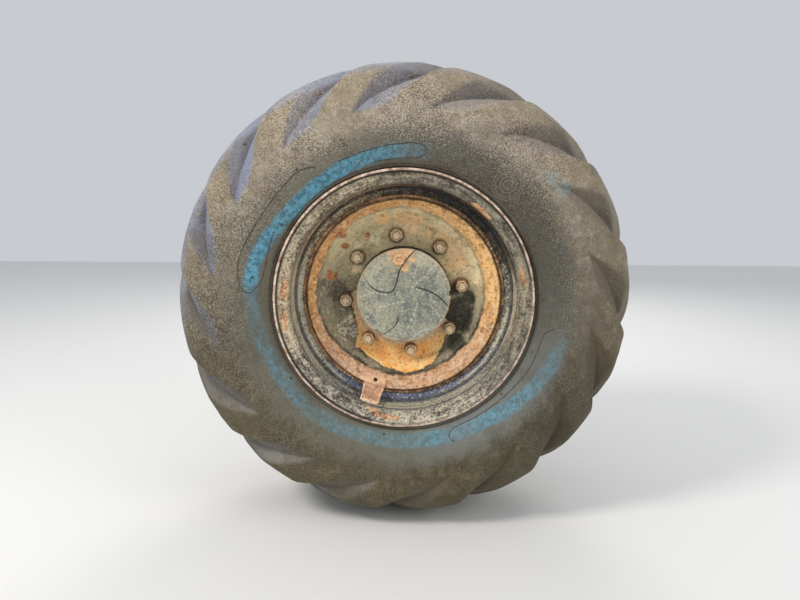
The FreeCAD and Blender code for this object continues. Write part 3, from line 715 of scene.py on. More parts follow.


# %% [markdown]
# ## Rubber
# Worn rubber is brown with dry mud on the lugs. It is lighter towards the top, partly with pale mud and partly with
# painted skylight. The grooves are blue-grey where painted skylight falls on the bare floor, with painted shade deeper
# down; a painted highlight runs along the crown and a painted shadow lies next to the rim.
# Fine speckles of sand cover it. A ring of blue marker paint runs round the sidewall and is worn through in places.
# The ring is a band of radii, let in by a slow noise and by the angles at which it still shows.

# %% Finish of the tyre


# How much painted skylight the grooves' steep walls and their ramps take at each angle about the axle.
WALL_SKYLIGHT = [(-180, 0.75), (-165, 0.4), (-150, 0.25), (-120, 0.12), (-90, 0.08), (-60, 0.0), (-20, 0.0), (0, 0.08),
             (25, 0.25), (45, 0.5), (60, 0.75), (90, 0.95), (120, 1.0), (180, 0.75)]
RAMP_SKYLIGHT = [(-180, 0.5), (-165, 0.7), (-150, 0.9), (-130, 0.95), (-112, 0.6), (-95, 0.35), (-75, 0.12), (-50, 0.0),
             (-15, 0.0), (30, 0.08), (80, 0.25), (95, 0.5), (120, 0.65), (150, 0.65), (180, 0.5)]
BEAD_LIGHT = [(-180, 0.52), (-150, 0.58), (-120, 0.61), (-90, 0.69), (-62, 0.96), (-35, 0.88), (-12, 0.46), (0, 0.2),
              (30, 0.0), (60, 0.02), (90, 0.34), (120, 0.58), (150, 0.55), (180, 0.52)]
SIDE_LIGHT = [(-180, 0.33), (-165, 0.28), (-150, 0.32), (-120, 0.48), (-95, 0.52), (-75, 0.46), (-60, 0.38),
              (-40, 0.26), (-25, 0.26), (-10, 0.42), (5, 0.5), (30, 0.56), (60, 0.55), (95, 0.52), (120, 0.62),
              (150, 0.52), (165, 0.44), (180, 0.33)]
MARKER_MIDDLE = [
    (-180, 0.326), (-163, 0.316), (-145, 0.313), (-128, 0.317), (-112, 0.312), (-91, 0.312), (-70, 0.314), (-56, 0.317),
    (-45, 0.327), (-30, 0.339), (-15, 0.350), (80, 0.318), (94, 0.316), (107, 0.311), (118, 0.306), (129, 0.305),
    (141, 0.304), (153, 0.315), (163, 0.326), (172, 0.328), (180, 0.326),
]
MARKER_LEFT = [
    (-180, 0.5), (-170, 0.38), (-163, 0.52), (-145, 0.62), (-128, 0.42), (-112, 0.58), (-91, 0.55), (-75, 0.75),
    (-69, 0.55), (-55, 0.75), (-35, 0.7), (-17, 0.45), (-11, 0.0), (78, 0.0), (84, 0.5), (95, 0.8), (110, 0.95),
    (172, 1.0), (175, 0.75), (180, 0.5),
]


def rubber_finish():
    work = Finish("worn_rubber", roughness=0.88)
    reach = work.reach()
    slow = work.noise(5, 4.0)
    middle = work.noise(24, 5.0, 0.65)
    broad = work.noise(90, 4.0, 0.7, offset=(5, 2, 2))
    grain = work.noise(330, 3.0, 0.7)
    fine = work.noise(640, 2.0, 0.6, offset=(3, 1, 2))
    # Lighter towards the top, partly pale dry mud and partly painted skylight; darker and greyer towards the right.
    aloft = work.band(work.math("MULTIPLY_ADD", work.math("SUBTRACT", slow, 0.5), 0.3, work.axis("Z")), -0.36, 0.42)
    mud_and_top_light = work.tint(aloft, paint(92, 84, 59), paint(162, 151, 131))
    mud_and_top_light = work.tint(work.band(work.axis("X"), 0.10, 0.5, 0.0, 0.5), mud_and_top_light, paint(88, 83, 72))
    mud_and_top_light = work.spots(mud_and_top_light, middle, 0.48, 0.66, 0.6, work.tint(aloft, paint(78, 66, 45), paint(122, 104, 82)))
    mud_and_top_light = work.spots(mud_and_top_light, broad, 0.51, 0.62, 0.5, work.tint(aloft, paint(68, 62, 47), paint(114, 104, 94)))
    lug_face = work.band(work.math("MULTIPLY_ADD", work.math("SUBTRACT", middle, 0.5), 0.06, reach), 0.400, 0.435)
    mud_and_top_light = work.tint(work.math("MULTIPLY", lug_face, 0.7), mud_and_top_light, work.tint(aloft, paint(96, 86, 60), paint(142, 127, 101)))
    patchy = work.noise(38, 5.0, 0.7, offset=(9, 2, 5))
    mud_and_top_light = work.spots(mud_and_top_light, patchy, 0.50, 0.60, 0.5, work.tint(aloft, paint(66, 60, 45), paint(128, 112, 94)))
    mud_and_top_light = work.spots(mud_and_top_light, patchy, 0.47, 0.37, 0.5, work.tint(aloft, paint(122, 112, 86), paint(184, 172, 156)))
    # Painted light in the grooves: painted skylight makes the floors blue-grey where they face the sky and brown where
    # they face away, painted shade darkens them deeper down, and the steep walls take a painted light that changes with
    # the angle about the axle.
    kept = work.node("ShaderNodeAttribute", attribute_name="groove").outputs["Fac"]
    skyward = work.follow(work.angle(), -180, 180, RAMP_SKYLIGHT)
    high_up = work.band(work.axis("Z"), -0.1, 0.15)
    to_right = work.band(work.axis("X"), -0.12, 0.16)
    floor = work.tint(skyward, work.tint(to_right, paint(92, 75, 48), paint(82, 71, 46)), work.tint(high_up, paint(146, 142, 136), paint(114, 122, 146)))
    deep = work.tint(skyward, paint(50, 42, 30), work.tint(high_up, paint(104, 104, 106), paint(60, 72, 110)))
    floor = work.tint(work.band(kept, 0.45, 0.9), floor, deep)
    colour = work.tint(work.band(kept, 0.03, 0.26, 0.0, 0.88), mud_and_top_light, floor)
    steep = work.node("ShaderNodeAttribute", attribute_name="wall").outputs["Fac"]
    sky = work.tint(work.band(work.axis("X"), -0.18, 0.12), paint(128, 141, 166), paint(164, 154, 146))
    lit = work.tint(work.follow(work.angle(), -180, 180, WALL_SKYLIGHT), paint(88, 78, 56), sky)
    colour = work.tint(work.band(steep, 0.0, 1.0, 0.0, 0.72), colour, lit)
    light_here = work.follow(work.angle(), -180, 180, SIDE_LIGHT)
    colour = work.tint(work.band(light_here, 0.5, 0.0), colour, paint(46, 41, 30))
    colour = work.tint(work.band(light_here, 0.5, 1.0), colour, paint(206, 190, 158))
    # A painted highlight along the lugs' shoulders at the crown, blue-grey to the left, with painted shade at the
    # bottom.
    wavy = work.math("MULTIPLY_ADD", work.math("SUBTRACT", slow, 0.5), 0.05, reach)
    crown_light_and_shade = work.tint(work.band(work.axis("Z"), -0.30, 0.25), paint(84, 78, 64),
                      work.tint(to_right, paint(146, 155, 176), paint(140, 130, 114)))
    colour = work.tint(work.band(wavy, 0.472, 0.496, 0.0, 0.75), colour, crown_light_and_shade)
    near_rim = work.band(work.math("MULTIPLY_ADD", work.math("SUBTRACT", middle, 0.5), 0.05, reach), 0.342, 0.386, 0.85, 0.0)
    bead = work.tint(work.follow(work.angle(), -180, 180, BEAD_LIGHT), paint(58, 58, 50),
                     work.tint(to_right, paint(130, 127, 110), paint(124, 127, 122)))
    colour = work.tint(near_rim, colour, bead)
    outer_side = work.band(work.out(), 0.05, 0.12)
    smear = work.math("MULTIPLY", work.patches([(41, 0.396, 0.015), (36.5, 0.404, 0.017)], broad, 1.0), outer_side)
    colour = work.tint(work.math("MULTIPLY", smear, 0.34), colour, paint(120, 158, 166))
    colour = work.tint(work.band(work.noise(13, 4.0, offset=(4, 4, 1)), 0.5, 0.62, 0.0, 0.4), colour, paint(82, 76, 62))
    teal = work.tint(work.band(broad, 0.42, 0.6), paint(96, 172, 198), paint(54, 122, 144))
    colour = work.tint(work.math("MULTIPLY", marker(work, reach), outer_side), colour, teal)
    strong = work.math("MULTIPLY", work.band(work.noise(7, 3.0, 0.5, offset=(1, 2, 3)), 0.35, 0.6, 0.4, 1.0),
                       work.band(reach, 0.32, 0.36, 0.4, 1.0))
    strong = work.math("MULTIPLY", strong, work.band(work.math("SUBTRACT", work.axis("Z"), work.axis("X")), -0.4, 0.3,
                                                     0.6, 1.0))
    strong = work.math("MULTIPLY", strong, work.band(kept, 0.1, 0.5, 1.0, 0.55))
    light = work.math("MULTIPLY", work.band(grain, 0.51, 0.60, 0.0, 0.62), strong)
    dark = work.math("MULTIPLY", work.band(grain, 0.49, 0.40, 0.0, 0.66), strong)
    colour = work.tint(light, colour, work.tint(aloft, paint(138, 128, 100), paint(204, 188, 168)))
    colour = work.tint(dark, colour, work.tint(aloft, paint(48, 43, 34), paint(74, 66, 62)))
    colour = work.spots(colour, fine, 0.55, 0.66, 0.4, paint(52, 46, 40))
    # A painted shadow on the rubber next to the rim's lip.
    colour = work.tint(work.band(reach, 0.2835, 0.2885, 1.0, 0.0), colour, paint(20, 17, 16))
    work.bump(work.noise(60, 6.0, 0.7), 0.0022, 0.5)
    work.bump(grain, 0.0014, 0.6)
    return work.done(colour, roughness=work.band(middle, 0.3, 0.8, 0.8, 0.95))


def marker(work, reach):
    """How much marker paint is left: a band about a wavering circle, worn by noise."""
    angle = work.angle()
    middle = work.follow(angle, -180, 180, MARKER_MIDDLE)
    away = work.math("ABSOLUTE", work.math("SUBTRACT", reach, middle))
    ragged = work.math("MULTIPLY_ADD", work.math("SUBTRACT", work.noise(30, 4.0), 0.5), 0.012, away)
    inside = work.band(ragged, 0.009, 0.019, 1.0, 0.0)
    left = work.follow(angle, -180, 180, MARKER_LEFT)
    streaks = work.ringed(120, 4.0, 0.65, along=9.0)
    worn = work.band(work.math("ADD", streaks, work.math("MULTIPLY", work.noise(34, 5.0), 0.6)), 0.62, 0.9, 1.0, 0.0)
    kept = work.math("MAXIMUM", worn, work.band(left, 0.5, 0.95, 0.4, 0.92))
    mottled = work.band(work.noise(110, 4.0, 0.7, offset=(6, 6, 6)), 0.40, 0.56, 0.86, 1.0)
    return work.math("MULTIPLY", work.math("MULTIPLY", inside, left), work.math("MULTIPLY", kept, mottled))


rubber = rubber_finish()
tyre = place_copies(tyre_slice(), "worn_tyre", rubber, LUGS, 0.0, 0.0, seed=3.0, slow=0.006, quick=0.0016,
                    merge=0.0004)
finish_piece(tyre, "wheel", "tyre", rubber, "tyre")

# %% [markdown]
# ## Rolled rim
# The rim is one rolled section: a seat for each bead, a deep well between them, and flanges that curl outwards. Its
# corners are arcs, as rolling leaves them. Mud has dried on it unevenly, so a slow noise pushes the skin out by up to
# a millimetre and a half.

# %% The rim's shape
RIM_SECTION = [
    (78, 219, 7), (102.8, 257.2, 6), (165.1, 257.2, 2), (165.1, 280.6, 5), (171, 282.5, 3), (178, 282.5, 2.5),
    (178, 275.2, 2.5), (173.6, 272.5, 4), (173.1, 264, 2), (171.6, 262.5, 2), (171.2, 252, 6), (166, 249.6, 5),
    (152, 249.2, 2), (149, 247.6, 2), (141, 247.6, 2), (138, 249.2, 2), (122, 249.2, 2), (119.5, 247.9, 2),
    (114, 247.9, 2), (107.5, 248.6, 2), (105.6, 245.4, 2), (82.3, 211, 7), (-34.3, 211, 7),
    (-59.1, 249.2, 6), (-173.1, 249.2, 9), (-173.1, 272.5, 5), (-178, 275.2, 3), (-178, 282.5, 3),
    (-171, 282.5, 3), (-165.1, 280.6, 5), (-165.1, 257.2, 2), (-54.8, 257.2, 6), (-30, 219, 7),
]


def rim_mud(out, radius, angle):
    points = placed(out, radius, angle) * 1000
    crust = np.clip(waves(points, 60, 5) + 0.1, 0, 2) * 0.7 + waves(points, 12, 6, 3) * 0.2
    lip = step_up(radius, 270, 276)
    held = np.where((radius > 255.5) & (np.abs(out) < 164), 0.0, 1.0)
    return crust * (1 - 0.85 * lip) * held


FLANGE_CRUST = [(-180, 0.9), (-150, 0.42), (-120, 0.3), (-90, 0.62), (-60, 0.6), (-30, 0.26), (0, 0.62), (30, 0.42),
                (60, 0.3), (90, 0.42), (120, 0.6), (150, 0.54), (180, 0.9)]
WELL_DUST = [(-180, 1.0), (-150, 0.8), (-120, 0.45), (-90, 0.5), (-60, 0.62), (-30, 0.76), (0, 0.66), (15, 0.42),
             (30, 0.0), (60, -0.1), (90, 0.2), (120, 0.62), (150, 0.6), (165, 0.9), (180, 1.1)]
UPPER_LEFT = [(-180, 0.0), (82, 0.0), (100, 1.0), (150, 1.0), (163, 0.3), (172, 0.0), (180, 0.0)]
WELL_SHADE = [(-180, 0.0), (-100, 0.1), (-85, 0.2), (-60, 0.0), (-8, 0.0), (8, 0.1), (25, 0.6), (45, 0.75), (65, 0.75),
              (85, 0.55), (105, 0.1), (120, 0.0), (180, 0.0)]
FLANGE_SMOOTH = [(-180, 0.0), (-70, 0.0), (-45, 0.3), (-25, 0.6), (0, 0.6), (20, 0.7), (45, 0.75), (75, 0.6),
                 (100, 0.4), (120, 0.1), (180, 0.0)]
RUST_ARCS = [(97, 0.256, 8, 0.007), (87, 0.262, 4, 0.004), (59, 0.258, 4, 0.0035), (50, 0.281, 6, 0.005),
             (143, 0.258, 8, 0.008), (112, 0.262, 8, 0.006), (170, 0.262, 7, 0.009), (175, 0.286, 5, 0.009),
             (-98, 0.290, 6, 0.006), (-105, 0.281, 4, 0.005), (-170, 0.290, 6, 0.007), (12, 0.288, 5, 0.005)]
# The pale streaks are painted highlights and reflections; the blue ones are painted sky reflections.
PAINTED_GLINTS = [(-30, 0.236, 24, 0.0035), (-52, 0.229, 16, 0.002), (-12, 0.252, 20, 0.0025), (-140, 0.236, 26, 0.0025),
                (2, 0.258, 12, 0.008), (180, 0.258, 15, 0.010), (-180, 0.258, 15, 0.010), (-150, 0.258, 14, 0.007),
                (-88, 0.261, 20, 0.008), (-62, 0.259, 12, 0.006), (176, 0.232, 12, 0.008)]
DARK_STREAKS = [(-33, 0.259, 11, 0.009), (2, 0.233, 13, 0.008), (-118, 0.262, 8, 0.006), (150, 0.246, 16, 0.004),
                (128, 0.243, 10, 0.004), (-70, 0.247, 18, 0.003)]
SKY_REFLECTIONS = [(-92, 0.232, 36, 0.012), (-52, 0.226, 26, 0.009), (-84, 0.238, 17, 0.006), (-48, 0.219, 30, 0.004), (-36, 0.247, 30, 0.0025), (-125, 0.229, 18, 0.004)]


def rim_finish():
    """Crust in rings: a pale lip with a painted highlight, a speckled flange, ridges with painted shade and a painted
    highlight at their steps, and a well that is dark above with painted shade, bare below, and streaked with painted
    reflections.
    """
    work = Finish("rim_crust", roughness=0.8)
    reach = work.reach()
    out = work.out()
    walk = work.math("MULTIPLY_ADD", work.math("SUBTRACT", out, 0.105), 0.4, reach)
    blotch = work.ringed(64, 6.0, 0.75, along=0.8)
    streak = work.ringed(150, 4.0, 0.65, along=0.12, offset=5.0)
    broad = work.ringed(26, 5.0, 0.65, along=1.6, offset=3.0)
    speckle = work.noise(210, 4.0, 0.7)
    fine = work.noise(420, 3.0, 0.7, offset=(3, 3, 1))
    patch = work.noise(18, 5.0, 0.65, offset=(2, 5, 1))
    flange = work.band(walk, 0.268, 0.276)
    crust = work.follow(work.angle(), -180, 180, FLANGE_CRUST)
    dust = work.follow(work.angle(), -180, 180, WELL_DUST)
    amount = work.math("ADD", work.math("MULTIPLY", flange, crust),
                       work.math("MULTIPLY", work.math("SUBTRACT", 1.0, flange), dust))
    level = work.math("MULTIPLY", blotch, 0.5)
    level = work.math("MULTIPLY_ADD", streak, 0.22, level)
    level = work.math("MULTIPLY_ADD", speckle, 0.28, level)
    level = work.math("MULTIPLY_ADD", work.math("SUBTRACT", amount, 0.5), 0.26, level)
    upper_left = work.follow(work.angle(), -180, 180, UPPER_LEFT)
    lower = work.band(work.axis("Z"), -0.05, -0.16)
    dark = work.tint(upper_left, paint(36, 35, 33), paint(64, 52, 38))
    dark = work.tint(flange, dark, work.tint(lower, paint(58, 53, 46), paint(62, 62, 62)))
    light = work.tint(upper_left, paint(182, 176, 158), paint(152, 136, 104))
    light = work.tint(flange, light, work.tint(lower, paint(202, 184, 152), paint(204, 194, 172)))
    colour = work.tint(work.band(level, 0.42, 0.58), dark, light)
    clumps = work.ringed(110, 5.0, 0.75, along=0.5, offset=9.0)
    colour = work.spots(colour, clumps, 0.53, 0.62, 0.6, work.tint(flange, paint(74, 66, 56), paint(116, 98, 74)))
    colour = work.spots(colour, clumps, 0.45, 0.37, 0.5, work.tint(flange, paint(196, 188, 166), paint(228, 214, 184)))
    brown = work.tint(lower, work.tint(patch, paint(128, 104, 78), paint(176, 150, 116)),
                      work.tint(patch, paint(120, 112, 102), paint(168, 158, 142)))
    colour = work.spots(colour, broad, 0.50, 0.62, 0.6, brown)
    in_well = work.math("SUBTRACT", 1.0, flange)
    well_shade = work.math("MULTIPLY", work.follow(work.angle(), -180, 180, WELL_SHADE), in_well)
    colour = work.tint(well_shade, colour, paint(30, 28, 24))
    # A painted sky reflection on the lower part of the well.
    sky_reflection = work.math("MULTIPLY", work.band(work.axis("Z"), -0.06, -0.2, 0.0, 0.3), in_well)
    colour = work.tint(sky_reflection, colour, paint(144, 150, 164))
    # Painted shade at the foot of the flange, stronger towards the top.
    foot_shade = work.math("MULTIPLY", flange, work.band(reach, 0.2640, 0.2560, 0.0, 0.55))
    colour = work.tint(work.math("MULTIPLY", foot_shade, work.band(work.axis("Z"), 0.02, 0.12, 0.15, 1.0)), colour,
                       paint(62, 55, 42))
    smooth = work.math("MULTIPLY", work.follow(work.angle(), -180, 180, FLANGE_SMOOTH), flange)
    drawn = work.ringed(90, 5.0, 0.65, along=0.25, offset=7.0)
    grey = work.tint(work.band(drawn, 0.40, 0.60), paint(60, 58, 52), paint(150, 142, 122))
    colour = work.tint(smooth, colour, grey)
    rusty = work.arcs(RUST_ARCS, walk, work.noise(80, 6.0, 0.75, offset=(7, 1, 4)), 5.0)
    colour = work.tint(work.math("MULTIPLY", rusty, 0.85), colour,
                       work.tint(work.band(blotch, 0.4, 0.6), paint(168, 104, 62), paint(226, 172, 124)))
    # Painted highlights and reflections in pale streaks, and painted sky reflections in blue ones.
    colour = work.tint(work.math("MULTIPLY", work.arcs(PAINTED_GLINTS, walk, blotch, 2.5), 0.6), colour, paint(198, 192, 158))
    colour = work.tint(work.math("MULTIPLY", work.arcs(DARK_STREAKS, walk, blotch, 2.5), 0.5), colour, paint(52, 54, 56))
    colour = work.tint(work.math("MULTIPLY", work.arcs(SKY_REFLECTIONS, walk, blotch, 2.5), 0.85), colour, paint(66, 80, 116))
    grain = work.math("MULTIPLY", work.band(speckle, 0.53, 0.63, 0.0, 0.9), work.band(amount, 0.1, 0.7, 0.15, 0.8))
    calm = work.math("SUBTRACT", 1.0, work.math("MULTIPLY", smooth, 0.7))
    colour = work.tint(work.math("MULTIPLY", grain, calm), colour, paint(222, 208, 176))
    gaps = work.math("MULTIPLY", work.band(speckle, 0.46, 0.38, 0.0, 0.75), calm)
    colour = work.tint(gaps, colour, paint(34, 32, 30))
    colour = work.spots(colour, fine, 0.56, 0.68, 0.45, paint(60, 50, 40))
    # Painted shade in the creases at the well's steps, and a painted highlight on one step's edge.
    for middle, half, depth in ((0.1060, 0.0020, 0.9), (0.1365, 0.0016, 0.7), (0.1535, 0.0020, 0.7)):
        away = work.math("ABSOLUTE", work.math("SUBTRACT", out, middle))
        colour = work.tint(work.band(away, half, half * 2.2, depth * 0.8, 0.0), colour, paint(24, 23, 24))
    away = work.math("ABSOLUTE", work.math("SUBTRACT", out, 0.1095))
    colour = work.tint(work.band(away, 0.0010, 0.0022, 0.55, 0.0), colour, paint(214, 206, 188))
    low_right = work.band(work.math("SUBTRACT", work.axis("X"), work.axis("Z")), 0.08, 0.34)
    # Painted shade in the curl inside the lip, weaker towards the lower right.
    curl_shade = work.band(work.math("ABSOLUTE", work.math("SUBTRACT", reach, 0.2752)), 0.0012, 0.0032, 0.9, 0.0)
    curl_shade = work.math("MULTIPLY", curl_shade, work.band(out, 0.165, 0.170))
    curl_shade = work.math("MULTIPLY", curl_shade, work.band(low_right, 0.0, 1.0, 1.0, 0.35))
    colour = work.tint(curl_shade, colour, paint(30, 26, 24))
    # The lip is pale, with a painted highlight along its rolled edge.
    lip = work.math("MULTIPLY", work.band(reach, 0.2770, 0.2784), work.band(out, 0.160, 0.168))
    pale_lip_with_highlight = work.tint(work.band(blotch, 0.38, 0.6), paint(158, 118, 94), paint(236, 210, 190))
    colour = work.tint(work.math("MULTIPLY", lip, work.band(fine, 0.62, 0.45, 0.55, 1.0)), colour, pale_lip_with_highlight)
    work.bump(work.noise(70, 7.0, 0.75), 0.0018, 0.7)
    work.bump(speckle, 0.0012, 0.7)
    bare = work.math("MULTIPLY", low_right, work.band(walk, 0.255, 0.245))
    return work.done(colour, roughness=work.math("MULTIPLY_ADD", bare, -0.3, work.band(patch, 0.3, 0.7, 0.65, 0.92)))


def steel_finish(name, base, dark, dust, rust, rusty=0.5, dusty=0.5):
    """Old paint on steel with rust in patches and dust over it."""
    work = Finish(name, roughness=0.8)
    slow = work.noise(22, 5.0, 0.65)
    patch = work.noise(60, 6.0, 0.7, offset=(2, 5, 1))
    fine = work.noise(300, 3.0, 0.7)
    colour = work.tint(work.band(slow, 0.4, 0.6), dark, base)
    colour = work.tint(work.band(patch, 0.62 - rusty * 0.2, 0.74 - rusty * 0.2, 0.0, 0.85), colour, rust)
    colour = work.tint(work.band(work.noise(130, 5.0, 0.7, offset=(7, 3, 4)), 0.60 - dusty * 0.2, 0.72 - dusty * 0.2,
                                 0.0, 0.8), colour, dust)
    colour = work.tint(work.band(fine, 0.56, 0.70, 0.0, 0.6), colour, dark)
    work.bump(work.noise(90, 7.0, 0.75), 0.0014, 0.6)
    work.bump(fine, 0.0006, 0.5)
    return work.done(colour, roughness=work.band(patch, 0.3, 0.7, 0.65, 0.95))


rim = turned("rolled_rim", RIM_SECTION, around=300, step=7, change=rim_mud, steps=3)
finish_piece(rim, "wheel", "rim", rim_finish(), "rim")

# %% [markdown]
# ## Pressed disc
# The disc is pressed from plate: flat round the hub, then a steep wall, then a band that lies on the well's side and
# is welded there. Orange mud cakes the band, the wall and a wide patch below the hub. The mud has thickness, so it is
# pushed out of the mesh and kept as an attribute that the finish reads.

# %% The disc's shape and its mud
DISC_SECTION = [
    (34, 110.5, 1), (34, 162, 14), (89.6, 196, 9), (103.5, 217.4, 2), (91.8, 225, 1), (79.6, 206.3, 9),
    (20, 169.9, 14), (20, 110.5, 1),
]
MUD_LIMIT = [
    (-180, 122), (-177, 129), (-174, 152), (-171, 150), (-168, 132), (-160, 129), (-152, 133), (-145, 137), (-138, 147),
    (-134, 166), (-131, 174), (-125, 171), (-114, 176), (-105, 181), (-95, 185), (-85, 187), (-77, 186), (-68, 181),
    (-64, 175), (-55, 163), (-47, 147), (-38, 141), (-34, 136), (-30, 112), (-20, 96), (0, 90), (150, 90), (172, 96),
    (180, 122),
]
BAND_INSIDE = [
    (-180, 198), (-160, 197), (-148, 194), (-135, 190), (-110, 188), (-90, 188), (-60, 187), (-45, 186), (0, 187),
    (30, 188), (60, 194), (90, 201), (120, 202), (150, 199), (180, 198),
]


def along_angle(x, z, points):
    """Value at each place's angle about the axle, between points (angle, value)."""
    angle = np.degrees(np.arctan2(z, x))
    return np.interp(angle, [p[0] for p in points], [p[1] for p in points])


def mud_cover(x, z):
    """0 to 1: how much of the orange mud covers a place on the disc, in millimetres right and up."""
    points = np.stack([x, np.zeros_like(x), z], axis=-1)
    wobble = waves(points, 34, 11) * 3.0 + waves(points, 11, 12, 3) * 1.5
    return step_up(along_angle(x, z, MUD_LIMIT) + wobble - np.hypot(x, z), -0.8, 2.2)


def band_cover(x, z):
    """0 to 1: the ring of dried mud on the disc's band."""
    points = np.stack([x, np.zeros_like(x), z], axis=-1)
    wobble = waves(points, 45, 16) * 3.0 + waves(points, 12, 17, 3) * 1.6
    reach = np.hypot(x, z)
    return step_up(reach - along_angle(x, z, BAND_INSIDE) + wobble, -0.8, 1.6) * step_up(218.5 - reach, -1, 1.2)


def mud_edge_shadow(x, z):
    """0 to 1: the painted shadow that runs along the edges of the mud, where its thickness casts shade."""
    points = np.stack([x, np.zeros_like(x), z], axis=-1)
    reach = np.hypot(x, z)
    cake = reach - along_angle(x, z, MUD_LIMIT) - waves(points, 34, 11) * 3.0 - waves(points, 11, 12, 3) * 1.5
    band = along_angle(x, z, BAND_INSIDE) - reach - waves(points, 45, 16) * 3.0 - waves(points, 12, 17, 3) * 1.6
    low = step_up(-z, -40, 90)
    patchy = np.clip(0.75 + waves(points, 40, 18) * 0.6, 0, 1)
    near_cake = step_up(cake, -3, 0) * (1 - step_up(cake, 1.0, 6.0)) * step_up(reach, 112, 118)
    near_band = step_up(band, -3, 0) * (1 - step_up(band, 1.0, 6.5)) * (0.45 + 0.55 * low)
    return np.maximum(near_cake * 0.9, near_band) * patchy


def disc_mud(out, radius, angle):
    x = radius * np.cos(angle)
    z = radius * np.sin(angle)
    points = placed(out, radius, angle) * 1000
    front = step_up(out, 24, 33)
    cake = mud_cover(x, z) * (3.2 + waves(points, 26, 13) * 1.0)
    band = band_cover(x, z) * (2.0 + waves(points, 40, 14) * 0.8)
    rough = waves(points, 15, 15, 3) * 0.22
    lumps = 0
    for far, turn, size, height in ((175, 166.5, 9, 6), (200, 135.5, 8, 4), (166, 30, 22, 1.2), (150, 150, 15, 1.0),
                                    (182, 239, 12, 1.5), (160, 215, 14, 1.2)):
        dx = x - far * math.cos(math.radians(turn))
        dz = z - far * math.sin(math.radians(turn))
        lumps = lumps + height * np.exp(-(dx ** 2 + dz ** 2) / size ** 2)
    return np.clip(cake + band + rough + lumps, -0.2, 9) * front * step_up(226 - radius, 0, 6)


COVER_SHADOW_PLACES = [(346, 0.130, 0.036), (332, 0.126, 0.026), (334, 0.150, 0.034), (356, 0.154, 0.020), (318, 0.172, 0.022), (4, 0.118, 0.024)]
SHADY_DISC = [(178, 0.158, 0.028), (192, 0.138, 0.018), (172, 0.186, 0.012)]
DUSTY_DISC = [(32, 0.158, 0.048), (58, 0.168, 0.042), (15, 0.174, 0.024), (40, 0.152, 0.026), (153, 0.124, 0.014), (86, 0.170, 0.034), (106, 0.182, 0.018)]
PALE_DISC = [(212, 0.155, 0.028), (118, 0.140, 0.020), (136, 0.158, 0.016), (96, 0.150, 0.020)]
RUST_DISC = [(166.5, 0.174, 0.012), (163, 0.181, 0.007), (141, 0.176, 0.008), (122, 0.160, 0.006), (135.5, 0.199, 0.011)]
GUARD_HOLE_SHADE = (252, 0.2047, 0.0062)


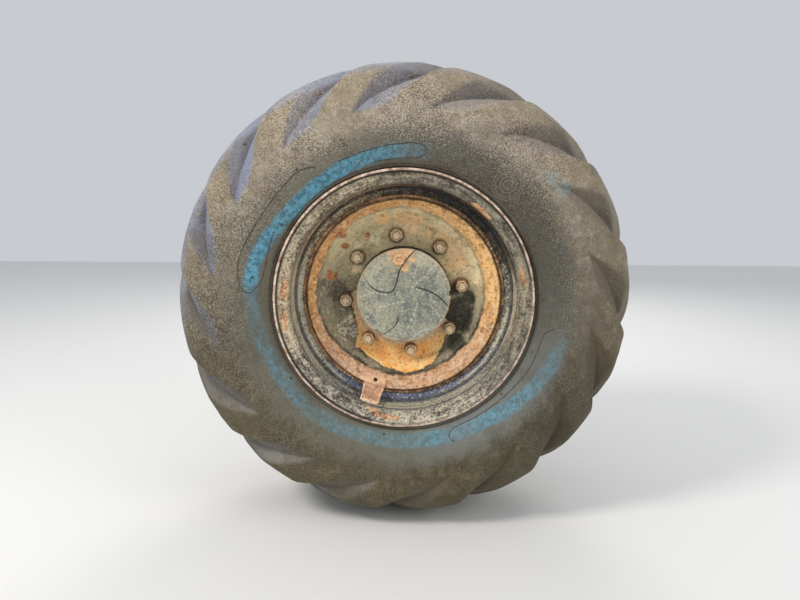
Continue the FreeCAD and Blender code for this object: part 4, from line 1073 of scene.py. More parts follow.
def disc_finish():
    work = Finish("disc_paint_and_mud", roughness=0.85)
    slow = work.noise(11, 5.0, 0.6)
    patch = work.noise(36, 6.0, 0.7, offset=(1, 4, 2))
    grit = work.noise(130, 5.0, 0.7, offset=(4, 4, 0))
    fine = work.noise(300, 3.0, 0.7)
    ragged = work.noise(55, 6.0, 0.75, offset=(2, 0, 6))
    aloft = work.band(work.math("MULTIPLY_ADD", work.axis("X"), 0.2, work.axis("Z")), -0.05, 0.11)
    olive = work.tint(aloft, paint(142, 133, 110), paint(220, 203, 158))
    olive = work.spots(olive, slow, 0.46, 0.64, 0.4, paint(172, 156, 116))
    olive = work.tint(work.math("MULTIPLY", work.patches(SHADY_DISC, ragged), 0.6), olive, paint(74, 68, 56))
    dusty = work.tint(work.band(slow, 0.35, 0.65), paint(255, 206, 146), paint(255, 234, 186))
    dusty = work.spots(dusty, patch, 0.55, 0.66, 0.4, paint(156, 148, 124))
    olive = work.tint(work.math("MULTIPLY", work.patches(DUSTY_DISC, ragged), 0.96), olive, dusty)
    scribble = work.math("MULTIPLY", work.patches(PALE_DISC, ragged), work.band(grit, 0.48, 0.56, 0.1, 0.85))
    olive = work.tint(scribble, olive, paint(238, 230, 202))
    olive = work.spots(olive, patch, 0.54, 0.64, 0.28, paint(104, 92, 68))
    olive = work.spots(olive, grit, 0.55, 0.64, 0.5, paint(228, 216, 180))
    olive = work.spots(olive, grit, 0.45, 0.37, 0.45, paint(62, 56, 44))
    olive = work.spots(olive, fine, 0.56, 0.68, 0.25, paint(90, 82, 62))
    # A painted shadow of the hub cover on the disc, to its right.
    cover_shadow = work.tint(work.band(grit, 0.40, 0.62), paint(34, 36, 33), paint(66, 64, 54))
    olive = work.tint(work.math("MULTIPLY", work.patches(COVER_SHADOW_PLACES, slow, 1.0), 0.84), olive, cover_shadow)
    # A painted shadow round each nut on the disc.
    for number in range(8):
        turn = math.radians(7.5 + 45 * number)
        nut_shadow = work.near(0.1375 * math.cos(turn), 0.1375 * math.sin(turn), 0.0165, 0.0235)
        olive = work.tint(work.math("MULTIPLY", nut_shadow, 0.6), olive, paint(62, 54, 42))
    kept = work.node("ShaderNodeAttribute", attribute_name="mud").outputs["Fac"]
    cake = work.noise(30, 6.0, 0.65, offset=(5, 1, 3))
    orange = work.tint(work.band(cake, 0.36, 0.64), paint(255, 182, 98), paint(255, 218, 148))
    orange = work.tint(work.band(work.reach(), 0.136, 0.120, 0.0, 0.85), orange, paint(226, 206, 172))
    orange = work.spots(orange, ragged, 0.55, 0.64, 0.5, paint(190, 116, 60))
    orange = work.spots(orange, grit, 0.57, 0.65, 0.8, paint(132, 78, 36))
    orange = work.spots(orange, grit, 0.46, 0.38, 0.6, paint(255, 216, 150))
    orange = work.spots(orange, fine, 0.54, 0.66, 0.5, paint(160, 96, 48))
    colour = work.tint(work.band(kept, 0.35, 0.75), olive, orange)
    ring = work.node("ShaderNodeAttribute", attribute_name="band").outputs["Fac"]
    right = work.band(work.axis("X"), -0.10, 0.12)
    low = work.band(work.axis("Z"), 0.02, -0.16)
    tan = work.tint(right, paint(208, 154, 92), paint(255, 204, 134))
    tan = work.tint(work.math("MULTIPLY", low, 0.85), tan, paint(204, 168, 142))
    tan = work.spots(tan, patch, 0.46, 0.62, 0.6, paint(208, 144, 84))
    tan = work.spots(tan, ragged, 0.54, 0.62, 0.65, paint(126, 90, 58))
    tan = work.spots(tan, ragged, 0.45, 0.37, 0.5, paint(248, 214, 168))
    tan = work.spots(tan, grit, 0.56, 0.63, 0.75, paint(96, 66, 42))
    tan = work.spots(tan, grit, 0.46, 0.38, 0.55, paint(250, 218, 180))
    tan = work.spots(tan, fine, 0.54, 0.66, 0.5, paint(146, 102, 68))
    lines = work.ringed(170, 3.0, 0.6, along=0.1, offset=2.0)
    tan = work.spots(tan, lines, 0.54, 0.62, 0.35, paint(150, 104, 66))
    colour = work.tint(work.band(ring, 0.3, 0.7), colour, tan)
    # A painted shadow along the edges of the mud.
    edge_shadow = work.node("ShaderNodeAttribute", attribute_name="edge_shadow").outputs["Fac"]
    colour = work.tint(work.math("MULTIPLY", edge_shadow, 0.9), colour, paint(34, 30, 24))
    rust = work.tint(work.band(grit, 0.42, 0.58), paint(204, 138, 88), paint(136, 84, 50))
    colour = work.tint(work.patches(RUST_DISC, ragged), colour, rust)
    outer = work.math("MULTIPLY", work.band(work.reach(), 0.2160, 0.2190), work.band(ragged, 0.40, 0.56, 0.15, 0.8))
    colour = work.tint(outer, colour, paint(112, 84, 60))
    # Painted shade on the disc under the guard's hole, so that the hole looks dark.
    colour = work.tint(work.patches([GUARD_HOLE_SHADE], ragged, 0.1), colour, paint(14, 12, 10))
    work.bump(work.noise(80, 7.0, 0.75), 0.0024, 0.7)
    work.bump(grit, 0.0016, 0.7)
    return work.done(colour, roughness=work.band(patch, 0.3, 0.7, 0.78, 0.96))


disc = turned("pressed_disc", DISC_SECTION, around=420, step=2.6, change=disc_mud)
spots = np.array([v.co for v in disc.data.vertices]) * 1000
mud = mud_cover(spots[:, 0], spots[:, 2]) * step_up(WHEEL_PLANE * 1000 - spots[:, 1], 26, 33)
disc.data.attributes.new("mud", "FLOAT", "POINT").data.foreach_set("value", mud)
ring = band_cover(spots[:, 0], spots[:, 2]) * step_up(WHEEL_PLANE * 1000 - spots[:, 1], 60, 70)
disc.data.attributes.new("band", "FLOAT", "POINT").data.foreach_set("value", ring)
edge_shadow = mud_edge_shadow(spots[:, 0], spots[:, 2])
disc.data.attributes.new("edge_shadow", "FLOAT", "POINT").data.foreach_set("value", edge_shadow)
finish_piece(disc, "wheel", "wheel_disc", disc_finish(), "wheel_disc")

# %% [markdown]
# ## Hub cover
# The cover is a machined cap. Shallow steps swirl over its face from a raised pad at the upper left that holds the
# oil plug. The face is a fine polar net, and each step is a height that changes across a curve, so the light catches
# real edges.

# %% The cover's face
COVER_RADIUS = 108.3
COVER_FACE = 87.0
PAD_EDGE = [(-110, 60), (-97, 54), (-86, 35), (-73, 19), (-54, 9), (-36, 7), (-24, 14), (-18, 28), (-15, 41), (-10, 59),
            (0, 77), (13, 92), (27, 108)]
RIGHT_STEP = [(18, 21), (37, 17), (56, 11), (74, 2), (91, -12), (112, -34)]
LOWER_STEP = [(-8, -46), (-12, -55), (-18, -69), (-30, -81), (-45, -91), (-66, -101)]


def from_curve(x, z, corners):
    """Distance to a curve, positive on its left, and how far along it the nearest point lies, from 0 to 1."""
    curve = catmull(np.array(corners, float), 8)
    best = np.full(x.shape, 1e9)
    side = np.zeros(x.shape)
    along = np.zeros(x.shape)
    total = len(curve) - 1
    for i in range(total):
        a = curve[i]
        b = curve[i + 1]
        way = b - a
        length = np.hypot(*way)
        t = np.clip(((x - a[0]) * way[0] + (z - a[1]) * way[1]) / length ** 2, 0, 1)
        dx = x - (a[0] + way[0] * t)
        dz = z - (a[1] + way[1] * t)
        far = np.hypot(dx, dz)
        closer = far < best
        best = np.where(closer, far, best)
        side = np.where(closer, way[0] * dz - way[1] * dx, side)
        along = np.where(closer, (i + t) / total, along)
    return best * np.sign(side), along


def cover_lines(x, z):
    """0 to 1: painted shade at the foot of each step of the cover's face."""
    pad, along = from_curve(x, z, PAD_EDGE)
    step_shade = np.exp(-((pad + 0.9) / 1.5) ** 2) * (0.5 + 0.5 * step_up(along, 0.12, 0.3))
    for corners, width in ((RIGHT_STEP, 1.7), (LOWER_STEP, 1.0)):
        far, along = from_curve(x, z, corners)
        step_shade = np.maximum(step_shade, np.exp(-(far / width) ** 2) * step_up(along, 0.0, 0.2))
    return np.clip(step_shade, 0, 1)


def cover_height(x, z):
    """Height of the cover's face over its machined plane, in millimetres."""
    pad, _ = from_curve(x, z, PAD_EDGE)
    height = 1.5 * step_up(pad, -0.9, 0.9)
    height -= 1.1 * np.exp(-((pad + 1.6) / 1.1) ** 2)
    for corners, drop, groove in ((RIGHT_STEP, 1.6, 1.7), (LOWER_STEP, 1.1, 1.3)):
        far, along = from_curve(x, z, corners)
        fade = step_up(along, 0.0, 0.25)
        height -= drop * fade * step_up(far, -0.8, 0.8) * np.exp(-np.clip(far, 0, 99) / 14)
        height -= groove * fade * np.exp(-(far / 1.2) ** 2)
    height -= 1.2 * np.exp(-((x - 26) ** 2 + (z - 2) ** 2) / 10)
    points = np.stack([x, x * 0, z], axis=-1)
    height += waves(points, 34, 21) * 0.10
    edge = COVER_RADIUS - np.hypot(x, z)
    height -= 2.4 * step_up(3.4 - edge, 0, 3.4)
    return height


def notch(angle, radius):
    """How far the cover's edge is cut in at the two notches."""
    cut = np.zeros_like(angle)
    for centre, half, depth in ((3.0, 2.6, 4.0), (235.0, 4.6, 7.0)):
        away = np.abs((np.degrees(angle) - centre + 180) % 360 - 180)
        cut = np.maximum(cut, depth * step_up(half + 0.8 - away, 0, 0.9))
    return cut * step_up(radius, 80, 104)


def make_cover():
    rings = np.concatenate([[0.0], np.linspace(1.6, 102, 62), np.linspace(103, COVER_RADIUS, 6)])
    around = 380
    angle = np.linspace(0, 2 * np.pi, around, endpoint=False)
    radius, turn = np.meshgrid(rings[1:], angle, indexing="ij")
    cut = notch(turn, radius)
    reach = radius - cut
    out = COVER_FACE + cover_height(reach * np.cos(turn), reach * np.sin(turn))
    sides = []
    for depth, inset in ((COVER_FACE - 3.6, 0.0), (70.0, 0.0), (46.4, 0.0), (46.4, 13.8)):
        ring_radius = COVER_RADIUS - inset - notch(angle, np.full(around, 108.0)) * (inset == 0)
        sides.append((np.full(around, depth), ring_radius))
    for depth, ring in ((73.8, COVER_RADIUS - 13.8), (73.8, 40.0)):
        sides.append((np.full(around, depth), np.full(around, ring)))
    out = np.concatenate([out, [s[0] for s in sides]])
    reach = np.concatenate([reach, [s[1] for s in sides]])
    turn = np.repeat(angle[None, :], len(out), axis=0)
    grid = placed(out, reach, turn).reshape(-1, 3)
    front = placed(np.array([COVER_FACE + cover_height(np.zeros(1), np.zeros(1))[0]]), np.zeros(1), np.zeros(1))
    back = placed(np.array([73.8]), np.zeros(1), np.zeros(1))
    points = np.concatenate([grid, front, back])
    faces = net(len(out), around, False, True)
    centre = len(grid)
    last = (len(out) - 1) * around
    for j in range(around):
        after = (j + 1) % around
        faces.append((centre, after, j))
        faces.append((centre + 1, last + j, last + after))
    thing = shade(face_out(make_object("hub_cap", points, faces)), 35)
    spots = np.array([v.co for v in thing.data.vertices]) * 1000
    front = step_up(WHEEL_PLANE * 1000 - spots[:, 1], 82, 84)
    step_shade = cover_lines(spots[:, 0], spots[:, 2]) * front
    thing.data.attributes.new("step_shade", "FLOAT", "POINT").data.foreach_set("value", step_shade)
    scratch = cover_scratches(spots[:, 0], spots[:, 2]) * front
    thing.data.attributes.new("scratch", "FLOAT", "POINT").data.foreach_set("value", scratch)
    print("hub_cap faces", len(thing.data.polygons))
    return thing


SCRATCHES = [((32, -18), (24, -44), (2, -92)), ((58, -20), (74, -34), (88, -60)), ((40, 96), (30, 66), (22, 40)),
             ((-100, -4), (-70, 6), (-40, 2)), ((-60, -30), (-30, -20), (4, -14)), ((20, 20), (48, 44), (70, 70)),
             ((-88, -30), (-70, -44), (-58, -66)), ((26, -96), (40, -84), (60, -78))]


def cover_scratches(x, z):
    """0 to 1: light scratches on the cover's face."""
    total = np.zeros(x.shape)
    for corners in SCRATCHES:
        far, along = from_curve(x, z, corners)
        total = np.maximum(total, np.exp(-(far / 1.6) ** 2) * (0.55 + 0.45 * np.sin(along * 40 + corners[0][0])))
    return total


def cover_finish():
    work = Finish("cover_metal", roughness=0.62)
    slow = work.noise(20, 5.0, 0.6)
    grit = work.noise(170, 5.0, 0.75, offset=(2, 2, 7))
    fine = work.noise(460, 3.0, 0.7)
    middle = work.noise(60, 5.0, 0.7, offset=(3, 3, 3))
    edge = work.band(work.reach(), 0.045, 0.095)
    lower_right = work.band(work.math("SUBTRACT", work.axis("X"), work.axis("Z")), -0.05, 0.09)
    base = work.tint(edge, paint(138, 142, 128), paint(188, 183, 158))
    base = work.tint(work.math("MULTIPLY", lower_right, 0.65), base, paint(134, 138, 126))
    blotchy = work.noise(34, 4.0, 0.6, offset=(8, 1, 1))
    light_cloud = work.patches([(62, 0.048, 0.026), (150, 0.046, 0.022), (205, 0.060, 0.022)], blotchy, 1.6)
    dark_cloud = work.patches([(275, 0.038, 0.024), (2, 0.050, 0.024), (330, 0.060, 0.020)], blotchy, 1.6)
    base = work.tint(work.math("MULTIPLY", light_cloud, 0.5), base, paint(178, 172, 146))
    base = work.tint(work.math("MULTIPLY", dark_cloud, 0.5), base, paint(108, 116, 110))
    colour = work.spots(base, slow, 0.46, 0.60, 0.55, paint(116, 122, 112))
    colour = work.spots(colour, blotchy, 0.53, 0.62, 0.4, paint(184, 178, 148))
    colour = work.spots(colour, blotchy, 0.47, 0.38, 0.4, paint(98, 108, 104))
    colour = work.spots(colour, middle, 0.52, 0.64, 0.6, paint(182, 172, 142))
    colour = work.spots(colour, middle, 0.46, 0.38, 0.6, paint(96, 102, 96))
    colour = work.spots(colour, grit, 0.54, 0.63, 0.7, paint(212, 206, 182))
    colour = work.spots(colour, grit, 0.46, 0.37, 0.6, paint(72, 76, 70))
    colour = work.spots(colour, fine, 0.55, 0.66, 0.5, paint(84, 86, 78))
    scratch = work.node("ShaderNodeAttribute", attribute_name="scratch").outputs["Fac"]
    colour = work.tint(work.math("MULTIPLY", scratch, 0.75), colour, paint(218, 214, 198))
    ragged = work.noise(70, 5.0, 0.7)
    dust = work.patches([(98, 0.086, 0.026), (86, 0.092, 0.018), (94, 0.066, 0.014), (80, 0.084, 0.012)], ragged)
    colour = work.tint(work.math("MULTIPLY", dust, 0.85), colour,
                       work.tint(work.band(grit, 0.4, 0.6), paint(246, 200, 150), paint(206, 150, 98)))
    step_shade = work.node("ShaderNodeAttribute", attribute_name="step_shade").outputs["Fac"]
    # Painted shade at the foot of each step.
    colour = work.tint(work.band(step_shade, 0.2, 0.7, 0.0, 0.92), colour, paint(38, 36, 30))
    rimmed = work.math("MULTIPLY", work.band(work.reach(), 0.1030, 0.1050), work.band(grit, 0.42, 0.56, 0.25, 0.9))
    colour = work.tint(rimmed, colour, paint(214, 186, 152))
    # Painted shade on the cover's side, below its face.
    side = work.band(work.axis("Y"), WHEEL_PLANE - 0.084, WHEEL_PLANE - 0.082)
    colour = work.tint(side, colour, paint(52, 45, 38))
    work.bump(grit, 0.0010, 0.6)
    work.bump(fine, 0.0005, 0.5)
    return work.done(colour, roughness=work.band(slow, 0.3, 0.7, 0.5, 0.75))


cover = make_cover()
finish_piece(cover, "wheel", "hub_cover", cover_finish(), "hub_cover")

# %% [markdown]
# ## Nuts and studs
# Eight nuts hold the disc. Each has a round collar under a hexagon with its corners turned down, and the stud's
# threaded end stands out of it. Mud has rounded them off. One nut and one stud are made, and the tree sets them
# round the stud circle.

# %% One nut, one stud, and their ring
STUDS = 8
STUD_CIRCLE = 0.1375
FIRST_STUD = math.radians(7.5)


def ring_of(points_list):
    """Faces between closed loops of equal length, and both ends closed."""
    count = len(points_list[0])
    faces = net(len(points_list), count, False, True)
    faces.append(tuple(range(count)))
    faces.append(tuple(range((len(points_list) - 1) * count, len(points_list) * count)))
    return faces


def loop(out, radius, sides=24, hexagon=0.0, wobble=None):
    """One loop about the axle line: round, or hexagonal as hexagon goes to 1."""
    angle = np.linspace(0, 2 * np.pi, sides, endpoint=False)
    flat = np.cos(np.pi / 6) / np.cos((angle % (np.pi / 3)) - np.pi / 6)
    reach = radius * ((1 - hexagon) + hexagon * flat)
    if wobble is not None:
        reach = reach * (1 + wobble * np.sin(angle * 3 + out))
    return placed(np.full(sides, float(out)), reach, angle)


def make_nut():
    loops = [
        loop(34.2, 16.5), loop(38.6, 16.5), loop(40.0, 15.8), loop(40.4, 15.4, hexagon=0.8),
        loop(52.0, 15.4, hexagon=1.0), loop(54.6, 15.2, hexagon=0.9), loop(56.4, 13.6, hexagon=0.3),
        loop(57.0, 12.6), loop(57.0, 10.0), loop(55.8, 9.2), loop(34.2, 9.2),
    ]
    points = np.concatenate(loops)
    faces = net(len(loops), 24, True, True)
    return face_out(make_object("nut_model", points, faces))


def make_stud():
    loops = [loop(-8.2, 12.4), loop(-7.4, 13.0), loop(-0.8, 13.0), loop(-0.4, 12.6), loop(-0.4, 8.9), loop(30, 8.9)]
    depth = 50.0
    while depth < 61.6:
        loops.append(loop(depth, 8.9))
        loops.append(loop(depth + 0.8, 8.2))
        depth += 1.6
    loops += [loop(61.8, 8.6), loop(62.8, 7.4)]
    points = np.concatenate(loops)
    return face_out(make_object("stud_model", points, ring_of(loops)))



def nut_finish_by_side(name, out_edge):
    """Dry beige mud with worn edges that also carry a painted highlight, painted shade low down near the disc, orange
    on the lower left nuts and red rust on the one at the right.
    """
    work = Finish(name, roughness=0.85)
    patch = work.noise(110, 5.0, 0.75)
    fine = work.noise(330, 3.0, 0.7)
    mud = work.tint(work.band(patch, 0.42, 0.58), paint(156, 126, 84), paint(220, 192, 142))
    red = work.tint(work.band(patch, 0.42, 0.58), paint(138, 82, 58), paint(206, 140, 108))
    orange = work.tint(work.band(patch, 0.42, 0.58), paint(178, 112, 60), paint(232, 172, 112))
    colour = work.tint(work.near(0.136, 0.018, 0.03, 0.05), mud, red)
    colour = work.tint(work.near(-0.05, -0.12, 0.08, 0.11), colour, orange)
    # A painted highlight on the pale outer edge, where the mud is also worn.
    worn = work.math("MULTIPLY", work.band(work.out(), out_edge - 0.003, out_edge), work.band(patch, 0.36, 0.5, 0.3, 0.8))
    colour = work.tint(worn, colour, paint(238, 216, 176))
    # Painted shade low down, near the disc.
    colour = work.tint(work.band(work.out(), 0.046, 0.036, 0.0, 0.75), colour, paint(84, 58, 38))
    colour = work.spots(colour, fine, 0.54, 0.66, 0.6, paint(96, 64, 42))
    work.bump(patch, 0.0014, 0.7)
    work.bump(fine, 0.0007, 0.5)
    return work.done(colour)


nut_finish = nut_finish_by_side("nut_mud", 0.0567)
stud_finish = nut_finish_by_side("stud_mud", 0.0625)
nuts = place_copies(make_nut(), "mud_rounded_nuts", nut_finish, STUDS, STUD_CIRCLE, FIRST_STUD, seed=5.0, quick=0.0016)
studs = place_copies(make_stud(), "threaded_studs", stud_finish, STUDS, STUD_CIRCLE, FIRST_STUD, seed=7.0)
finish_piece(nuts, "wheel", "wheel_nuts", nut_finish, "wheel_nuts")
finish_piece(studs, "wheel", "wheel_studs", stud_finish, "wheel_studs")

# %% [markdown]
# ## Oil plug
# The plug has a low round collar and a hexagon socket, half filled with the orange dust that washes down from it.

# %% The oil plug's collar and socket
PLUG_SPOT = (84.0, math.radians(98))


def make_plug():
    loops = [
        loop(76.5, 8.9), loop(88.3, 8.9), loop(88.3, 13.2), loop(89.0, 13.5), loop(91.8, 13.5), loop(92.8, 12.6),
        loop(93.0, 10.2), loop(92.0, 8.6), loop(91.4, 6.9), loop(90.6, 6.5, hexagon=0.7), loop(89.8, 6.3, hexagon=1.0),
        loop(86.4, 6.1, hexagon=1.0), loop(85.6, 4.2, hexagon=0.5), loop(85.4, 1.6),
    ]
    thing = make_object("plug_with_socket", np.concatenate(loops), ring_of(loops))
    reach, turn = PLUG_SPOT
    for point in thing.data.vertices:
        point.co.x += reach * math.cos(turn) * MM
        point.co.z += reach * math.sin(turn) * MM
    return shade(face_out(thing))


def plug_finish():
    work = Finish("dusty_plug", roughness=0.8)
    patch = work.noise(140, 4.0, 0.7)
    colour = work.tint(work.band(patch, 0.4, 0.6), paint(206, 150, 98), paint(244, 202, 152))
    out = work.math("SUBTRACT", WHEEL_PLANE, work.axis("Y"))
    colour = work.tint(work.band(out, 0.0912, 0.0890, 0.0, 0.75), colour, paint(120, 66, 34))
    work.bump(patch, 0.0008, 0.6)
    return work.done(colour)


finish_piece(make_plug(), "wheel", "oil_plug", plug_finish(), "oil_plug")

# %% [markdown]
# ## Valve guard
# A bent plate shields the valve. Its foot lies on the disc's band and has a drilled hole, and its shield slopes out
# over the well. Use has beaten the free end into a shallow scoop with rounded corners. The plate is made flat as a
# fine net with the hole left open, thickened, and then bent along its profile.

# %% The guard as a bent plate
GUARD_TURN = math.radians(252)
GUARD_PATH = [(97.25, 196.3), (102.9, 205.0), (108.2, 213.2), (114.2, 217.9), (124.0, 225.4), (138.0, 236.3), (151.6, 246.9)]
GUARD_THICK = 4.6
GUARD_HOLE = (11.5, 0.0, 5.4)


def guard_half_width(along, total):
    """Half the plate's width, narrowing to its middle and rounded at both ends."""
    share = along / total
    half = 25.6 - 3.8 * step_up(share, 0.15, 0.75) + 1.2 * step_up(share, 0.8, 1.0)
    for near_end, bend in ((along, 3.0), (total - along, 9.0)):
        inside = np.clip(bend - near_end, 0, bend)
        half = half - (bend - np.sqrt(np.maximum(bend ** 2 - inside ** 2, 0)))
    return np.maximum(half, 8.0)


def make_guard():
    path = catmull(np.array(GUARD_PATH, float), 10)
    steps = np.linalg.norm(np.diff(path, axis=0), axis=1)
    length = np.concatenate([[0], np.cumsum(steps)])
    total = length[-1]
    rows = 58
    columns = 44
    along = np.linspace(0, total, rows)
    across = np.linspace(-1, 1, columns)
    u = np.repeat(along[:, None], columns, axis=1)
    v = across[None, :] * guard_half_width(along, total)[:, None]
    hole_u, hole_v, hole_r = GUARD_HOLE
    far = np.hypot(u - hole_u, v - hole_v)
    pull = np.abs(far - hole_r) < 0.9
    scale = np.where(pull, hole_r / np.maximum(far, 1e-6), 1.0)
    u = hole_u + (u - hole_u) * scale
    v = hole_v + (v - hole_v) * scale
    far = np.hypot(u - hole_u, v - hole_v)
    kept = []
    for face in net(rows, columns, False, False):
        middle = np.mean([far.reshape(-1)[i] for i in face])
        if middle > hole_r:
            kept.append(face)
    edge = np.minimum(np.minimum(u, total - u), guard_half_width(u, total) - np.abs(v))
    edge = np.minimum(edge, far - hole_r)
    share = u / total
    scoop = 2.4 * step_up(share, 0.45, 0.8) * (1 - (v / 22.0) ** 2) * (1 - 0.75 * step_up(share, 0.9, 1.0))
    sheet = []
    ground = np.stack([u, v * 0 + 1, v], axis=-1)
    lip_height = 1.6 * np.exp(-((edge - 2.4) / 1.7) ** 2) * step_up(share, 0.42, 0.55)
    for side in (1, 0):
        lift = side * (GUARD_THICK - 1.0 * (1 - step_up(edge, 0, 1.8))) - np.maximum(scoop, 0)
        if side:
            lift = lift + waves(ground, 24, 31) * 0.35 + lip_height - 0.6
        where = np.stack([np.interp(u, length, path[:, 0]), np.interp(u, length, path[:, 1])], axis=-1)
        ahead = np.stack([np.interp(u + 1, length, path[:, 0]), np.interp(u + 1, length, path[:, 1])], axis=-1)
        behind = np.stack([np.interp(u - 1, length, path[:, 0]), np.interp(u - 1, length, path[:, 1])], axis=-1)
        way = ahead - behind
        way = way / np.maximum(np.linalg.norm(way, axis=-1, keepdims=True), 1e-9)
        out = where[..., 0] - way[..., 1] * (GUARD_THICK - lift)
        radial = where[..., 1] + way[..., 0] * (GUARD_THICK - lift)
        x = radial * math.cos(GUARD_TURN) - v * math.sin(GUARD_TURN)
        z = radial * math.sin(GUARD_TURN) + v * math.cos(GUARD_TURN)
        sheet.append(np.stack([x * MM, WHEEL_PLANE - out * MM, z * MM], axis=-1).reshape(-1, 3))
    count = rows * columns
    faces = list(kept) + [tuple(i + count for i in reversed(face)) for face in kept]
    edges = {}
    for face in kept:
        for k in range(4):
            pair = (face[k], face[(k + 1) % 4])
            edges[pair] = edges.get(pair, 0) + 1
    for (a, b) in list(edges):
        if (b, a) not in edges:
            faces.append((b, a, a + count, b + count))
    thing = make_object("bent_guard", np.concatenate(sheet), faces)
    work = bmesh.new()
    work.from_mesh(thing.data)
    loose = [v for v in work.verts if not v.link_faces]
    bmesh.ops.delete(work, geom=loose, context="VERTS")
    work.to_mesh(thing.data)
    work.free()
    return shade(face_out(thing), 45)


def guard_zones(thing):
    """Keep three values on the guard: 1 on the raised edges of the shield, which take a painted highlight, 1 along the
    bend, which takes painted shade, and 1 on the shield, which is painted darker as shade.
    """
    spots = np.array([v.co for v in thing.data.vertices]) * 1000
    along = spots[:, 0] * math.cos(GUARD_TURN) + spots[:, 2] * math.sin(GUARD_TURN)
    across = -spots[:, 0] * math.sin(GUARD_TURN) + spots[:, 2] * math.cos(GUARD_TURN)
    total = 247.0
    half = np.interp(along, [196, 247], [25.6, 22.6])
    edge = np.minimum(half - np.abs(across), total - along)
    shield = step_up(along, 217, 222)
    lit = (1 - step_up(edge, 2.6, 5.2)) * shield
    bend = np.exp(-((along - 216.5) / 1.8) ** 2)
    for name, values in (("lit_edge", lit), ("bend_shade", bend), ("shield", shield)):
        thing.data.attributes.new(name, "FLOAT", "POINT").data.foreach_set("value", values)
    return thing


def guard_finish():
    work = Finish("guard_mud", roughness=0.85)
    patch = work.noise(42, 5.0, 0.65)
    grit = work.noise(160, 5.0, 0.7)
    lit, bend, shield = [work.node("ShaderNodeAttribute", attribute_name=name).outputs["Fac"]
                         for name in ("lit_edge", "bend_shade", "shield")]
    colour = work.tint(work.band(patch, 0.38, 0.62), paint(202, 154, 116), paint(230, 186, 148))
    # Painted shade on the sloping shield.
    colour = work.tint(work.math("MULTIPLY", shield, 0.8), colour,
                       work.tint(work.band(patch, 0.4, 0.6), paint(158, 116, 88), paint(192, 146, 112)))
    colour = work.spots(colour, grit, 0.55, 0.64, 0.65, paint(124, 84, 58))
    colour = work.spots(colour, grit, 0.46, 0.38, 0.5, paint(248, 214, 178))
    # Painted shade along the bend.
    colour = work.tint(work.math("MULTIPLY", bend, 0.55), colour, paint(112, 76, 52))
    # A painted highlight on the raised edges of the shield, patchy with the grit.
    worn = work.math("MULTIPLY", lit, work.band(grit, 0.56, 0.44, 0.45, 0.95))
    colour = work.tint(worn, colour, paint(248, 216, 182))
    work.bump(grit, 0.0014, 0.7)
    return work.done(colour)


finish_piece(guard_zones(make_guard()), "wheel", "valve_guard", guard_finish(), "valve_guard")

# %% [markdown]
# ## Weld round the band
# A bead of weld joins the band's edge to the side of the well. A hand-laid bead is a row of overlapping ripples, so
# one dome is made and the tree sets it round the wheel.

# %% Ripples of the weld
WELD_RIPPLES = 176
WELD_OUT = 95.0
WELD_RADIUS = 0.2262


def make_ripple():
    work = bmesh.new()
    bmesh.ops.create_icosphere(work, subdivisions=2, radius=1.0)
    for point in work.verts:
        point.co = Vector((point.co.x * 3.9 * MM, WHEEL_PLANE - (WELD_OUT + point.co.y * 3.6) * MM, point.co.z * 5.6 * MM))
    mesh = bpy.data.meshes.new("ripple_model")
    work.to_mesh(mesh)
    work.free()
    thing = bpy.data.objects.new("ripple_model", mesh)
    bpy.context.scene.collection.objects.link(thing)
    return thing


weld_finish = steel_finish("weld_rust", paint(186, 142, 100), paint(106, 82, 62), paint(224, 184, 140), paint(172, 112, 70))
weld = place_copies(make_ripple(), "weld_bead", weld_finish, WELD_RIPPLES, WELD_RADIUS, 0.0, seed=9.0, quick=0.0020)
finish_piece(weld, "wheel", "wheel_disc", weld_finish)

# %% [markdown]
# ## Lines moulded in the sidewall
# The mould leaves thin raised lines on a tyre: the outlines of the plain panels, a few rings and small pips. They are
# laid on the sidewall as low ridges that follow its curve.

# %% Ridges of the sidewall
PANEL_LEFT = [
    (333, 123), (342, 125), (349, 129.6), (348, 136), (347, 142.4), (349, 150.4), (353, 157), (357, 164), (355, 170),
    (345, 175.2), (328, 176.8), (316, 174.6), (307, 171.4), (305, 167.3), (306, 162.5), (309, 157), (311, 151.6),
]
PANEL_TOP = [
    (323, 115), (323, 110.8), (325, 105), (327, 99.5), (329, 93), (331, 87), (329, 83.4), (318, 81.8), (307, 83.4),
    (302, 87), (301, 94), (300, 102),
]
PANEL_RIGHT = [
    (330, 350.5), (320, 349.4), (311, 347), (309, 341.6), (310, 331.9), (307, 323), (304, 312.4), (303, 302.6),
    (303, 293.6), (308, 290), (318, 289), (330, 290.5),
]
PIPS = [(325, 170.9), (300, 338.8), (299, 316.7), (300, 1.1), (305, 147.9), (301, 23.9), (353, 128.6), (302, 262),
        (300, 215), (301, 60)]


def skin_of(thing):
    """Search tree over a piece's faces, to find where a line meets its skin."""
    mesh = thing.data
    return BVHTree.FromPolygons([v.co for v in mesh.vertices], [tuple(p.vertices) for p in mesh.polygons])


def sidewall_place(radius, angle):
    """Points on the tyre's skin and its normals there, from radius in millimetres and angle in degrees."""
    side = np.array(TYRE_SIDE[2:12], float)
    fall = (np.interp(radius + 1, side[:, 1], side[:, 0]) - np.interp(radius - 1, side[:, 1], side[:, 0])) / 2
    turn = np.radians(angle)
    size = np.sqrt(1 + fall ** 2)
    normal = np.stack([-fall * np.cos(turn) / size, -1 / size, -fall * np.sin(turn) / size], axis=-1)
    outside = placed(np.full(len(radius), 260.0), radius, turn)
    spots = [np.array(TYRE_SKIN.ray_cast(Vector(p), Vector((0, 1, 0)))[0]) for p in outside]
    return np.array(spots), normal


